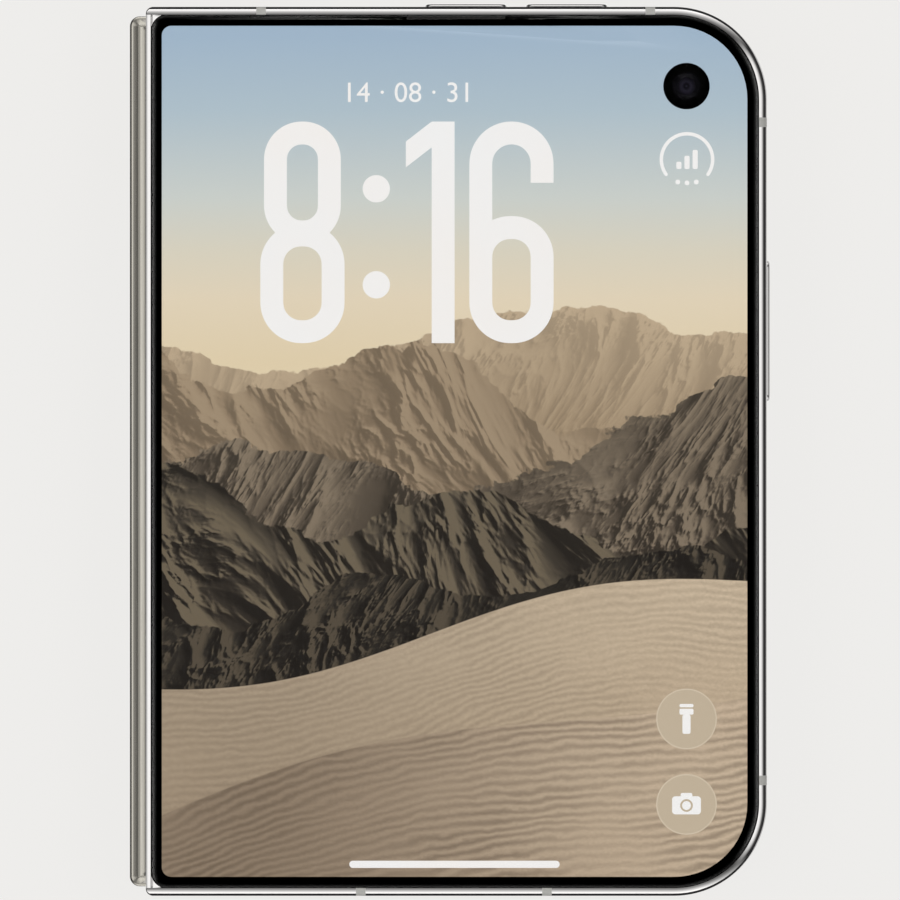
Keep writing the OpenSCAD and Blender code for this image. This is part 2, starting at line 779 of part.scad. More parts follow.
// switches behind the keys, each with a domed button
module key_switches() {
  depth = y_wall - 0.44 - key_travel;
  color(steel) rear_side() {
    for (x = volume_x) translate([x, depth - 1.05, key_v]) rotate([-90, 0, 0]) {
      translate([-2, -0.9, 0]) cube([4, 1.8, 0.6]);
      cylinder(r = 0.6, h = 1);
    }
    translate([x_free - y_top + depth - 1.05, side_y, key_v]) rotate([0, 90, 0]) {
      translate([-0.9, -2, 0]) cube([1.8, 4, 0.6]);
      cylinder(r = 0.6, h = 1);
    }
  }
}

module rear_plate() {
  color(steel) rear_side() support_plate();
}

module rear_inner_panel() {
  color(black) rear_side() inner_panel();
}

module rear_inner_bezel() {
  color(black) rear_side() inner_bezel();
}

module rear_knuckles() {
  color(steel) rear_side() knuckles(270 + 180 / gear_teeth);
}

module rear_screws() {
  color(steel) rear_side() knuckle_screws();
}

module rear_bend() {
  color(black) rear_side() display_bend();
}

// ---- keys: a capsule with a flange behind the band that keeps it in ----

module key(len) {
  r = 0.25;
  translate([0, 0, -band_t - 0.02]) linear_extrude(band_t + 0.02 + key_out - r) stadium(len, key_t);
  translate([0, 0, key_out - r - tiny]) linear_extrude(r + tiny) stadium(len - 2 * r, key_t - 2 * r);
  translate([0, 0, -band_t - 0.42]) linear_extrude(0.4) square([len + 1.6, key_t], center = true);
}

module volume_key(x) {
  color(metal) rear_side() translate([x, y_top, key_v]) rotate([-90, 0, 0]) key(volume_len);
}

module volume_up() {
  volume_key(volume_x[1]);
}

module volume_down() {
  volume_key(volume_x[0]);
}

module side_button() {
  color(metal) rear_side() translate([x_free, side_y, key_v]) rotate([90, 0, 90]) key(side_len);
}

cover_frame();
cover_hinge_rail();
cover_antenna_bands();
cover_glass();
cover_mask();
cover_display();
front_camera();
earpiece_mesh();
earpiece_speaker();
cover_battery();
cover_board();
cover_plate();
cover_inner_panel();
cover_inner_bezel();
cover_knuckles();
cover_screws();
cover_bend();
rear_frame();
rear_hinge_rail();
rear_antenna_bands();
rear_glass();
camera_plateau();
lens_rings();
lens_glasses();
rear_cameras();
flash_window();
logic_board();
shield_cans();
rear_battery();
usb_port();
loudspeaker();
haptic_motor();
key_switches();
rear_plate();
rear_inner_panel();
rear_inner_bezel();
rear_knuckles();
rear_screws();
rear_bend();
spine_cover();
hinge_base();
hinge_pins();
hinge_flex();
volume_up();
volume_down();
side_button();
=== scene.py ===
import math

import bmesh
import bpy
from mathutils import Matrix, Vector


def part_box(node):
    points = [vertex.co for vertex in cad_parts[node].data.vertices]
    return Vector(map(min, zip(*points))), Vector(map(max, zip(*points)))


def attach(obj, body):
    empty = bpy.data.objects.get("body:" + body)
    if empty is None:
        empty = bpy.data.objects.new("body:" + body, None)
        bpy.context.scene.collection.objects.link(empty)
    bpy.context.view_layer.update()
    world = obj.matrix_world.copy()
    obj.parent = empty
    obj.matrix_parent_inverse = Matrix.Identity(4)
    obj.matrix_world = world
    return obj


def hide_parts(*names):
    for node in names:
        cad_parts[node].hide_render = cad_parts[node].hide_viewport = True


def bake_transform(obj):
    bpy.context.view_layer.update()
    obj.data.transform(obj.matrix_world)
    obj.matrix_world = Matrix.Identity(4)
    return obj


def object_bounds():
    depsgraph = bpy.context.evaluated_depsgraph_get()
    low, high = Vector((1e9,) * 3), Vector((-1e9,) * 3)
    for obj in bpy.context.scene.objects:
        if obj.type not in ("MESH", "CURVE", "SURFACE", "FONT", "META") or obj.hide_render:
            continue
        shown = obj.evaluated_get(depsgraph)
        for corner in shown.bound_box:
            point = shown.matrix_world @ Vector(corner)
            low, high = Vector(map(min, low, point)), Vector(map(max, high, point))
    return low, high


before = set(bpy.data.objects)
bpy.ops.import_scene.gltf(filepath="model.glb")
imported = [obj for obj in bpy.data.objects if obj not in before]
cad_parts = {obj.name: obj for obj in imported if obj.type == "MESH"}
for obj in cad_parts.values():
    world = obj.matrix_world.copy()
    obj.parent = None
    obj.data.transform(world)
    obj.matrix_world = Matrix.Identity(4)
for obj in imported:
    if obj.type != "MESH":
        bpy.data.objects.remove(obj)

MM = 0.001
cad_low, cad_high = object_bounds()

# ---- Studio ----------------------------------------------------------------
# A pale card on a dark bench under a soft tent. The tent is open straight above, where
# the camera hangs, so flat glass mirrors black, and the bench draws the metal's outline.
TENT_LEVEL = 1.72
CARD_SIZE = 0.126
BENCH_SIZE = 8
BENCH_DROP = 0.0005
CARD_WHITE = 0.9


def linear(code):
    """A colour written as sRGB hex, as the linear numbers that a shader takes."""
    parts = [int(code[i:i + 2], 16) / 255 for i in (1, 3, 5)]
    return [p / 12.92 if p <= 0.04045 else ((p + 0.055) / 1.055) ** 2.4 for p in parts] + [1.0]


def add(tree, kind, *inputs, out=0, **settings):
    """Adds a node with its settings, fills its inputs in order or by name, and gives one output."""
    node = tree.nodes.new("ShaderNode" + kind)
    for name, value in settings.items():
        setattr(node, name, value)
    named = inputs[0] if inputs and isinstance(inputs[0], dict) else dict(enumerate(inputs))
    # a value is a node's output, a plain value or a colour's hex code
    for name, value in named.items():
        if isinstance(value, bpy.types.NodeSocket):
            tree.links.new(value, node.inputs[name])
        else:
            node.inputs[name].default_value = linear(value) if isinstance(value, str) else value
    return node.outputs[out]


def material(name, colour, roughness, **even):
    """A Principled surface. What is the same all over is set on the shader's own sockets."""
    mat = bpy.data.materials.new(name)
    mat.use_nodes = True
    surface = mat.node_tree.nodes["Principled BSDF"]
    surface.inputs["Base Color"].default_value = linear(colour)
    surface.inputs["Roughness"].default_value = roughness
    for socket, value in even.items():
        surface.inputs[socket.replace("_", " ")].default_value = value
    return mat, mat.node_tree, surface


def paint(obj, mat):
    """Gives a piece its one material."""
    obj.data.materials.clear()
    obj.data.materials.append(mat)


tent = bpy.data.worlds.new("soft_tent")
bpy.context.scene.world = tent
tent.use_nodes = True
sky = tent.node_tree
across, along, height = add(sky, "SeparateXYZ", add(sky, "TexCoord")).node.outputs
side_on = add(sky, "Math", across, operation="ABSOLUTE")
end_on = add(sky, "Math", along, operation="ABSOLUTE")
# the end panels fade evenly from the bench to 22 degrees from straight above
ends = add(sky, "MapRange", height, 0.15, 0.93, 1.22, 0.0)
# the side panels hang higher, and are brightest 37 degrees from straight above
sides_top = add(sky, "MapRange", height, 0.80, 0.985, 1.0, 0.0, interpolation_type="SMOOTHSTEP")
sides_low = add(sky, "MapRange", height, 0.22, 0.80, 0.04, 1.0, interpolation_type="SMOOTHSTEP")
sides = add(sky, "Math", sides_top, sides_low, operation="MULTIPLY")
# the panels don't quite meet at the tent's corners: 0 is square to the ends, 1 to the sides
around = add(sky, "Math", side_on, end_on, operation="ADD")
turn = add(sky, "Math", side_on, around, operation="DIVIDE")
side_share = add(sky, "MapRange", turn, 0.47, 0.70, interpolation_type="SMOOTHSTEP")
end_share = add(sky, "MapRange", turn, 0.58, 0.24)
side_light = add(sky, "Math", sides, side_share, operation="MULTIPLY")
level = add(sky, "Math", ends, end_share, side_light, operation="MULTIPLY_ADD")
strength = add(sky, "Math", level, TENT_LEVEL, operation="MULTIPLY")
glow = sky.nodes["Background"]
glow.inputs["Color"].default_value = linear("#FFFEFC")
sky.links.new(strength, glow.inputs["Strength"])


def sheet(name, size, level, mat):
    """A flat square of the studio."""
    bpy.ops.object.select_all(action="DESELECT")
    bpy.ops.mesh.primitive_plane_add(size=size, location=(0, 0, level))
    bpy.context.object.name = name
    paint(bpy.context.object, mat)


# matt board: it shows nearly as white whatever falls on it, and keeps a faint shadow
pale_card, nodes, surface = material("pale_card", "#F4F3F1", 0.9, Specular_IOR_Level=0.1)
rays = add(nodes, "LightPath").node.outputs
seen = add(nodes, "Math", rays["Is Camera Ray"], rays["Is Glossy Ray"], operation="MAXIMUM")
seen = add(nodes, "Math", seen, rays["Is Transmission Ray"], operation="MAXIMUM")
amount = add(nodes, "Math", seen, CARD_WHITE, operation="MULTIPLY")
pale = add(nodes, "Emission", "#F2F1EF", 1.0)
both = add(nodes, "MixShader", amount, surface.outputs[0], pale)
nodes.links.new(both, nodes.nodes["Material Output"].inputs["Surface"])
sheet("card", CARD_SIZE, 0, pale_card)
# matt paint: it takes light away from under the metal
sheet("bench", BENCH_SIZE, -BENCH_DROP, material("dark_bench", "#3B3B3D", 0.9, Specular_IOR_Level=0.1)[0])

# ---- Camera ----------------------------------------------------------------
# Straight above the folded phone, far away and with a long lens, so that it sees
# almost no perspective. It aims a hair off the middle.
FIELD = 121.83 * MM
LENS = 600
SENSOR = 36
AIM_X = -0.00002
AIM_Y = -0.00007
camera = bpy.data.cameras.new("camera")
camera.lens = LENS
camera.sensor_width = SENSOR
camera.clip_end = 20
viewer = bpy.data.objects.new("camera", camera)
bpy.context.collection.objects.link(viewer)
viewer.location = (AIM_X, AIM_Y, cad_high[2] + FIELD * LENS / SENSOR)
bpy.context.scene.camera = viewer
bpy.context.scene.view_settings.view_transform = "Standard"

# ---- Metal bands -----------------------------------------------------------
# Each half has a polished metal band round three sides. It is extruded, bent and
# machined, rounded like a pebble towards the glass and nearly square by the fold.
# within a hair, edges and faces count as being at a place
HAIR = 0.01 * MM


def choose(obj):
    """Selects one object alone and makes it the active one."""
    bpy.ops.object.select_all(action="DESELECT")
    obj.select_set(True)
    bpy.context.view_layer.objects.active = obj


def edit(obj):
    """Opens one object alone for modelling."""
    choose(obj)
    bpy.ops.object.mode_set(mode="EDIT")


def whole():
    """Selects all of the open mesh."""
    bpy.ops.mesh.select_all(action="SELECT")


def pick(kind, test):
    """Selects the parts of the open mesh whose middle, and direction or normal, pass a test."""
    bpy.ops.mesh.select_mode(type=kind)
    bpy.ops.mesh.select_all(action="DESELECT")
    mesh = bmesh.from_edit_mesh(bpy.context.object.data)
    mesh.normal_update()
    for part in {"VERT": mesh.verts, "EDGE": mesh.edges, "FACE": mesh.faces}[kind]:
        if kind == "VERT":
            middle, way = part.co, part.normal
        elif kind == "EDGE":
            a, b = (v.co for v in part.verts)
            middle, way = (a + b) / 2, (b - a).normalized()
        else:
            middle, way = part.calc_center_median(), part.normal
        if test(middle, way):
            part.select_set(True)
    mesh.select_flush_mode()
    bmesh.update_edit_mesh(bpy.context.object.data)


def pull(*step):
    """Extrudes what is selected by a step."""
    bpy.ops.mesh.extrude_region_move(TRANSFORM_OT_translate={"value": step})


def spin(steps, angle, center, axis=(0, 0, 1)):
    """Turns what is selected round an axis, and leaves a wall behind it."""
    bpy.ops.mesh.spin(steps=steps, angle=angle, center=center, axis=axis)


def bevel(radius, steps, what="EDGES"):
    """Rounds the edges or corners that are selected."""
    bpy.ops.mesh.bevel(offset=radius, segments=steps, affect=what)


def saw(place, way, **keep):
    """Divides the whole open mesh along a plane."""
    whole()
    bpy.ops.mesh.bisect(threshold=1e-7, plane_co=place, plane_no=way, **keep)


def move(*step):
    """Moves the whole open mesh."""
    whole()
    bpy.ops.transform.translate(value=step)


def squash(factor, base):
    """Scales the whole open mesh in height about a level."""
    whole()
    bpy.ops.transform.resize(value=(1, 1, factor), center_override=(0, 0, base))


def close(obj, name, smooth=40):
    """Leaves edit mode with a clean, outward, smooth-shaded mesh."""
    whole()
    bpy.ops.mesh.remove_doubles(threshold=1e-6)
    bpy.ops.mesh.normals_make_consistent(inside=False)
    bpy.ops.object.mode_set(mode="OBJECT")
    bpy.ops.object.shade_smooth_by_angle(angle=math.radians(smooth))
    obj.name = name
    obj.data.name = name


def cube(low, high):
    """A block between two corners, at the origin, with its place in its mesh."""
    bpy.ops.object.select_all(action="DESELECT")
    size = [h - l for l, h in zip(low, high)]
    middle = [(h + l) / 2 for l, h in zip(low, high)]
    bpy.ops.mesh.primitive_cube_add(size=1, location=middle, scale=size)
    bpy.ops.object.transform_apply(location=True, rotation=True, scale=True)
    return bpy.context.object


def slab(low, high, near_r, far_r, steps=24):
    """A block whose upright edges are rounded, small ones by the spine and large ones at the free side."""
    obj = cube(low, high)
    edit(obj)
    middle = (low[0] + high[0]) / 2
    pick("EDGE", lambda p, way: abs(way.z) > 0.99 and p.x < middle)
    bevel(near_r, max(6, steps // 2))
    pick("EDGE", lambda p, way: abs(way.z) > 0.99 and p.x > high[0] - HAIR)
    bevel(far_r, steps)
    return obj


def weigh(obj):
    """Keeps flat faces flat where they run into rounded ones."""
    choose(obj)
    obj.modifiers.new("weigh", "WEIGHTED_NORMAL").keep_sharp = True
    bpy.ops.object.modifier_apply(modifier="weigh")


def cut(obj, tool, keep="DIFFERENCE"):
    """Cuts one mesh with another and throws the tool away."""
    choose(obj)
    cutter = obj.modifiers.new("cutter", "BOOLEAN")
    cutter.object = tool
    cutter.operation = keep
    cutter.solver = "EXACT"
    bpy.ops.object.modifier_apply(modifier="cutter")
    bpy.data.objects.remove(tool)


def copy(obj, name):
    """A copy with its own mesh."""
    twin = obj.copy()
    twin.data = obj.data.copy()
    twin.name = name
    twin.data.name = name
    bpy.context.collection.objects.link(twin)
    return twin


band_low, band_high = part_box("cover_frame")
fold = (band_low[2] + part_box("rear_frame")[1][2]) / 2


def mirrored(obj, name):
    """The same piece for the rear half, as its mirror image below the fold plane."""
    twin = copy(obj, name)
    edit(twin)
    whole()
    bpy.ops.transform.resize(value=(1, 1, -1), center_override=(0, 0, fold))
    bpy.ops.mesh.flip_normals()
    bpy.ops.object.mode_set(mode="OBJECT")
    return twin


def fit(piece, mat, body, node=None):
    """Paints a piece, hangs it on the body that carries it, and hides the CAD node that it replaces, if one
    is given.
    """
    paint(piece, mat)
    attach(piece, body)
    if node:
        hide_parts(node)


def uneven(name, dark, light, smooth, rough, scale, stretch=None, relief=0.0, detail=3.0, low=0.3,
           bite=0.5, **even):
    """A surface whose colour or gloss wanders between two values, with grains of 1 / scale metres."""
    mat, tree, top = material(name, light, rough, **even)
    spot = add(tree, "TexCoord", out="Object")
    if stretch:
        spot = add(tree, "Mapping", {"Vector": spot, "Scale": stretch})
    grain = add(tree, "TexNoise", {"Vector": spot, "Scale": scale, "Detail": detail})
    if dark:
        hue = add(tree, "Mix", {0: grain, 6: dark, 7: light}, out=2, data_type="RGBA")
        tree.links.new(hue, top.inputs["Base Color"])
    if smooth is not None:
        gloss = add(tree, "MapRange", grain, low, 0.7, smooth, rough)
        tree.links.new(gloss, top.inputs["Roughness"])
    if relief:
        bump = add(tree, "Bump", {"Height": grain, "Strength": bite, "Distance": relief})
        tree.links.new(bump, top.inputs["Normal"])
    return mat


corner_r = 12.6 * MM
hinge_corner_r = 0.95 * MM
band_w = 1.07 * MM
crown_a = 1.6 * MM
crown_b = 1.2 * MM
crown_rise = 0.065 * MM
lip_r = 0.3 * MM
blank_w = 2.2 * MM
end_depth = 1.4 * MM
end_round = 0.22 * MM

# the section, in a space where the crown's ellipse is a circle
flat = crown_b / crown_a
tall = (band_high[2] + crown_rise - band_low[2]) / flat
bpy.ops.object.select_all(action="DESELECT")
bpy.ops.mesh.primitive_plane_add(size=1, rotation=(0, math.pi / 2, 0))
band = bpy.context.object
bpy.ops.object.transform_apply(rotation=True)
edit(band)
bpy.ops.transform.resize(value=(1, blank_w, tall))
bpy.ops.transform.translate(value=(band_low[0], band_high[1] - blank_w / 2, band_low[2] + tall / 2))
pick("VERT", lambda p, way: p.y > band_high[1] - 0.1 * MM and p.z > fold + MM)
bevel(crown_a, 14, "VERTICES")
pick("VERT", lambda p, way: p.y > band_high[1] - 0.1 * MM and p.z < fold + MM)
bevel(lip_r, 5, "VERTICES")
squash(flat, band_low[2])
saw((0, band_high[1] - band_w, 0), (0, 1, 0), clear_inner=True)
whole()
# along the top, round the free corners and back along the bottom
run = band_high[0] - corner_r - band_low[0]
side = band_high[1] - band_low[1] - 2 * corner_r
pull(run, 0, 0)
spin(32, math.pi / 2, (band_high[0] - corner_r, band_high[1] - corner_r, 0))
pull(0, -side, 0)
spin(32, math.pi / 2, (band_high[0] - corner_r, band_low[1] + corner_r, 0))
pull(-run, 0, 0)
close(band, "cover_band")
# the two ends beside the spine are rounded off, and the edges of that round are broken
ends_tool = slab((*band_low[:2], band_low[2] - MM), (band_high[0] + 20 * MM, band_high[1], band_high[2] + MM),
                 hinge_corner_r, 0.1 * MM, 20)
close(ends_tool, "ends_tool")
cut(band, ends_tool, "INTERSECT")
edit(band)
bpy.ops.mesh.select_mode(type="EDGE")
bpy.ops.mesh.select_all(action="DESELECT")
shape = bmesh.from_edit_mesh(band.data)
shape.normal_update()
for edge in shape.edges:
    middle = (edge.verts[0].co + edge.verts[1].co) / 2
    lean = [face.normal.z for face in edge.link_faces]
    at_end = middle.x < band_low[0] + hinge_corner_r and middle.z > band_high[2] - end_depth
    meets = min(map(abs, lean)) < 0.01 and max(lean) > 0.05
    if at_end and meets and len(lean) == 2 and edge.calc_face_angle() > 0.35:
        edge.select_set(True)
bmesh.update_edit_mesh(band.data)
bevel(end_round, 3)
close(band, "cover_band")

# ---- Antenna bands ---------------------------------------------------------
# Six plugs of pale moulded plastic break the metal so that it can work as antennas.
# They are moulded in before the band is polished, so they lie flush with it.
insert_w = 1.3 * MM
spots = [(Vector((x * MM, band_high[1], 0)), Vector((1, 0, 0))) for x in (-25.6, 27.1)]
spots += [(Vector((x * MM, band_low[1], 0)), Vector((1, 0, 0))) for x in (-12.1, 13.1)]
spots += [(Vector((band_high[0], y * MM, 0)), Vector((0, 1, 0))) for y in (44.3, -44.8)]


def in_spot(p):
    """Whether a point lies in an insert's stretch of the band."""
    return any(abs((p - at).dot(along)) < insert_w / 2 and abs((p - at).dot(along.yxz)) < 3 * MM
               for at, along in spots)


def cap_ends(obj):
    """Closes the open ends of a cut mesh."""
    edit(obj)
    bpy.ops.mesh.select_mode(type="EDGE")
    whole()
    bpy.ops.mesh.remove_doubles(threshold=1e-6)
    bpy.ops.mesh.select_all(action="DESELECT")
    bpy.ops.mesh.select_non_manifold()
    bpy.ops.mesh.fill_holes(sides=0)


edit(band)
for at, along in spots:
    for shift in (-insert_w / 2, insert_w / 2):
        saw(at + along * shift, along)
pick("FACE", lambda p, way: in_spot(p))
bpy.ops.mesh.separate(type="SELECTED")
bpy.ops.object.mode_set(mode="OBJECT")
inserts = [o for o in bpy.context.selected_objects if o != band][0]
cap_ends(inserts)
close(inserts, "cover_inserts")
cap_ends(band)
close(band, "cover_band")
rear_band = mirrored(band, "rear_band")
rear_inserts = mirrored(inserts, "rear_inserts")

# polished steel: a clear mirror, a little warm, dulled by the finest polishing marks
polished = uneven("polished_steel", None, "#C3C2C2", 0.07, 0.13, 2500, low=0.35, Metallic=1.0)
fit(band, polished, "cover_half", "cover_frame")
fit(rear_band, polished, "rear_half", "rear_frame")
# satin moulded plastic, with the faint grain of its glass filling
plug_plastic = uneven("filled_plastic", "#C4C4C0", "#D1D1CD", None, 0.45, 4000, detail=2.0)
fit(inserts, plug_plastic, "cover_half", "cover_antenna_bands")
fit(rear_inserts, plug_plastic, "rear_half", "rear_antenna_bands")

# ---- Hinge rails -----------------------------------------------------------
# The fourth side of each half: a strip beside the glass, with a thin skin that
# reaches under it and passes outside the spine. It is milled from the same steel.
rail_low, rail_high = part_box("cover_hinge_rail")
edge_x = rail_low[0]
strip_w = 0.70 * MM
skin_t = 0.2 * MM
skin_z = rail_high[2] - 1.0 * MM
strip_top = rail_high[2] + 0.02 * MM


def blank(name):
    """Opens a new mesh with nothing in it."""
    bpy.ops.object.select_all(action="DESELECT")
    bpy.ops.mesh.primitive_plane_add(size=MM, location=(0, 0, 0))
    obj = bpy.context.object
    obj.name = name
    edit(obj)
    bpy.ops.mesh.delete(type="VERT")
    return obj


def bar(name, points, depth):
    """A straight bar: an outline of (x, z) points, drawn along y from the first depth to the second."""
    obj = blank(name)
    shape = bmesh.from_edit_mesh(obj.data)
    shape.faces.new([shape.verts.new((x, depth[0], z)) for x, z in points])
    bmesh.update_edit_mesh(obj.data)
    whole()
    pull(0, depth[1] - depth[0], 0)
    close(obj, name, 20)
    return obj


# a steep shoulder, then a strip that leans out by 19 degrees, with small rounds between:
# steps in from the edge and down from the top, in millimetres
strip_steps = ((0, 0.33), (0.03, 0.28), (0.18, 0.19), (0.23, 0.165), (0.62, 0.03), (0.66, 0.02))
strip_points = [(edge_x + inward * MM, strip_top - down * MM) for inward, down in strip_steps]
rail = bar("cover_rail", [(edge_x, skin_z)] + strip_points + [
    (edge_x + strip_w, strip_top - 0.025 * MM), (edge_x + strip_w, skin_z + skin_t),
    (rail_high[0], skin_z + skin_t), (rail_high[0], skin_z)], (rail_low[1], rail_high[1]))
rear_rail = mirrored(rail, "rear_rail")
fit(rail, polished, "cover_half", "cover_hinge_rail")
fit(rear_rail, polished, "rear_half", "rear_hinge_rail")

# ---- Spine -----------------------------------------------------------------
# The cover of the hinge: a hollow back drawn from warmer, softer-looking metal. It steps
# down from a flat back plate by a small ledge and a soft round, and its ends are rounded.
spine_low, spine_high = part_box("spine_cover")
# inward and upward steps from the back plate's edge: a small chamfer, a ledge, then the round
spine_steps = ((0.04, 0.065), (0.21, 0.145), (0.04, 0.02), (0.23, 0.07), (0.55, 0.41), (0.13, 0.08),
               (0.14, 0.076), (0.14, 0.067), (0.14, 0.054), (0.38, 0.108), (0.28, 0.058))
spine_rim = sum(up for inward, up in spine_steps) * MM
spine_corner_r = 1.35 * MM
spine_wall = 0.5 * MM
hollow_r = 2.35 * MM
hollow_end_r = 1.1 * MM
spine = cube((*spine_low[:2], spine_low[2] + spine_rim),
             (spine_low[0] + 8 * MM, spine_high[1], spine_high[2] - spine_rim))
edit(spine)
pick("EDGE", lambda p, way: abs(way.z) > 0.99 and p.x < spine_low[0] + MM)
bevel(spine_corner_r, 14)
pick("FACE", lambda p, way: abs(way.z) > 0.99)
gone = 0.0
for inward, up in spine_steps:
    bpy.ops.mesh.inset(thickness=inward * MM, depth=up * MM)
    gone += inward * MM
    if gone > spine_corner_r - 0.02 * MM:
        # the round has shrunk to a point here, so its ends are joined
        bpy.ops.mesh.remove_doubles(threshold=0.05 * MM)
saw((spine_high[0], 0, 0), (1, 0, 0), clear_outer=True, use_fill=True)
close(spine, "spine_shell")
# the hollow, which keeps an even wall
hollow_low = [v + spine_wall for v in spine_low]
hollow_high = (spine_high[0] + 2 * MM, spine_high[1] - spine_wall, spine_high[2] - spine_wall)
middle_y = (spine_low[1] + spine_high[1]) / 2
hollow_tool = cube(hollow_low, hollow_high)
edit(hollow_tool)
pick("EDGE", lambda p, way: abs(way.y) > 0.99 and p.x < hollow_low[0] + HAIR)
bevel(hollow_r, 16)
pick("EDGE", lambda p, way: abs(p.y - middle_y) > hollow_high[1] - middle_y - HAIR)
bevel(hollow_end_r, 8)
close(hollow_tool, "hollow_tool")
cut(spine, hollow_tool)
edit(spine)
close(spine, "spine_shell")
weigh(spine)
# satin drawn metal: soft lengthwise lines, a duller and warmer mirror than the band
drawn_metal = uneven("drawn_metal", None, "#A8A59D", 0.16, 0.28, 1.0, (9000, 150, 9000), Metallic=1.0)
fit(spine, drawn_metal, "spine", "spine_cover")

# ---- Cover glass and rear glass --------------------------------------------
# Flat sheets, cut, edge-ground to a soft quarter ellipse and toughened. The cover
# glass has a slit for the earpiece. The rear one is etched matt outside.
glass_low, glass_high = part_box("cover_glass")
glass_near_r = 2.1 * MM
glass_far_r = 11.5 * MM
ground_a = 1.3 * MM
ground_b = 0.3 * MM
slit_r = 0.185 * MM
ground_flat = ground_b / ground_a
thick = (glass_high[2] - glass_low[2]) / ground_flat
glass = slab(glass_low, (*glass_high[:2], glass_low[2] + thick), glass_near_r, glass_far_r, 32)
pick("EDGE", lambda p, way: p.z > glass_low[2] + thick - HAIR)
bevel(ground_a, 10)
squash(ground_flat, glass_low[2])
close(glass, "glass_sheet")
rear_glass = mirrored(glass, "rear_glass_sheet")
slit_low, slit_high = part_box("earpiece_mesh")
slit = slab((*slit_low[:2], slit_low[2] - MM), (*slit_high[:2], slit_high[2] + MM), slit_r, slit_r, 8)
close(slit, "slit")
cut(glass, slit)
# toughened glass: clear, with a thin coat that cuts reflections, given as a lower specular level
clear = material("toughened_glass", "#FFFFFF", 0.0, Transmission_Weight=1.0, IOR=1.5,
                 Specular_IOR_Level=0.4)[0]
fit(glass, clear, "cover_half", "cover_glass")
# etched glass: a pale silver body under a fine matt skin that scatters a highlight
etched = uneven("etched_glass", None, "#D4D2CD", 0.28, 0.4, 6000, relief=0.00001, detail=2.0, bite=0.15,
                IOR=1.5)
fit(rear_glass, etched, "rear_half", "rear_glass")

# ---- Corner lands ----------------------------------------------------------
# The glass is round at its corners by the fold. Two small dished lands of the same steel,
# milled with the rail, close the corners between glass, rail and band.
land_foot = skin_z + skin_t + 0.01 * MM
land_deep = 2.2 * MM
land_reach = 2.8
land_steps = ((strip_w / MM, 0.47), (2.02, 0.02), (land_reach, 0.02))
land_points = [(edge_x + inward * MM, strip_top - down * MM) for inward, down in land_steps]
band_gap = 0.02 * MM
glass_gap = 0.05 * MM
rail_gap = 0.005 * MM
sharp_r = 0.0001 * MM
lands = []
for depth in ((rail_high[1] - land_deep, band_high[1] - band_w - band_gap),
              (band_low[1] + band_w + band_gap, rail_low[1] + land_deep)):
    land = bar("land", [(edge_x, land_foot)] + strip_points + land_points
               + [(edge_x + land_reach * MM, land_foot)], depth)
    # the glass and the rail keep their places
    for low, high, near_r in (
            ((glass_low[0] - glass_gap, glass_low[1] - glass_gap),
             (glass_high[0], glass_high[1] + glass_gap), glass_near_r + glass_gap),
            ((edge_x - MM, rail_low[1] - rail_gap),
             (edge_x + strip_w + 2 * rail_gap, rail_high[1] + rail_gap), sharp_r)):
        tool = slab((*low, skin_z - MM), (*high, strip_top + MM), near_r, sharp_r, 32)
        close(tool, "tool")
        cut(land, tool)
    lands.append(land)
choose(lands[0])
lands[1].select_set(True)
bpy.ops.object.join()
edit(lands[0])
close(lands[0], "cover_corner_lands", 20)
rear_lands = mirrored(lands[0], "rear_corner_lands")
fit(lands[0], polished, "cover_half")
fit(rear_lands, polished, "rear_half")

# ---- Keys ------------------------------------------------------------------
# Two volume keys on the top edge and a side button, all on the rear half. Each is a
# polished capsule that slides in its slot, with a flange inside that keeps it in.
key_travel_end = 0.8 * MM
flange_t = 0.4 * MM
flange_r = 0.3 * MM
key_gap = 0.08 * MM
key_edge = 0.4 * MM


def stadium(low, high, along, steps=12):
    """A block rounded to full radius round one of its three directions."""
    obj = cube(low, high)
    edit(obj)
    pick("EDGE", lambda p, way: abs(way[along]) > 0.99)
    thin = min(h - l for i, (l, h) in enumerate(zip(low, high)) if i != along)
    bevel(thin / 2, steps)
    whole()
    bpy.ops.mesh.remove_doubles(threshold=2e-6)
    return obj


for piece_name, node, out, length in (("volume_key_up", "volume_up", 1, 0),
                                      ("volume_key_down", "volume_down", 1, 0),
                                      ("side_key", "side_button", 0, 1)):
    low, high = (Vector(corner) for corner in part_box(node))
    body_low, body_high = low.copy(), high.copy()
    body_low[length] += key_travel_end
    body_high[length] -= key_travel_end
    slot_low = body_low - Vector((key_gap,) * 3)
    slot_high = body_high + Vector((key_gap,) * 3)
    slot_low[out] -= MM
    slot_high[out] += MM
    body_low[out] += flange_t / 2
    key = stadium(body_low, body_high, out)
    pick("EDGE", lambda p, way: p[out] > body_high[out] - HAIR)
    bevel(key_edge, 6)
    close(key, piece_name)
    flange_high = high.copy()
    flange_high[out] = low[out] + flange_t
    flange = cube(low, flange_high)
    edit(flange)
    pick("EDGE", lambda p, way: abs(way[out]) > 0.99)
    bevel(flange_r, 3)
    close(flange, "flange")
    cut(key, flange, "UNION")
    slot = stadium(slot_low, slot_high, out)
    close(slot, "slot")
    cut(rear_band, slot)
    fit(key, polished, node, node)

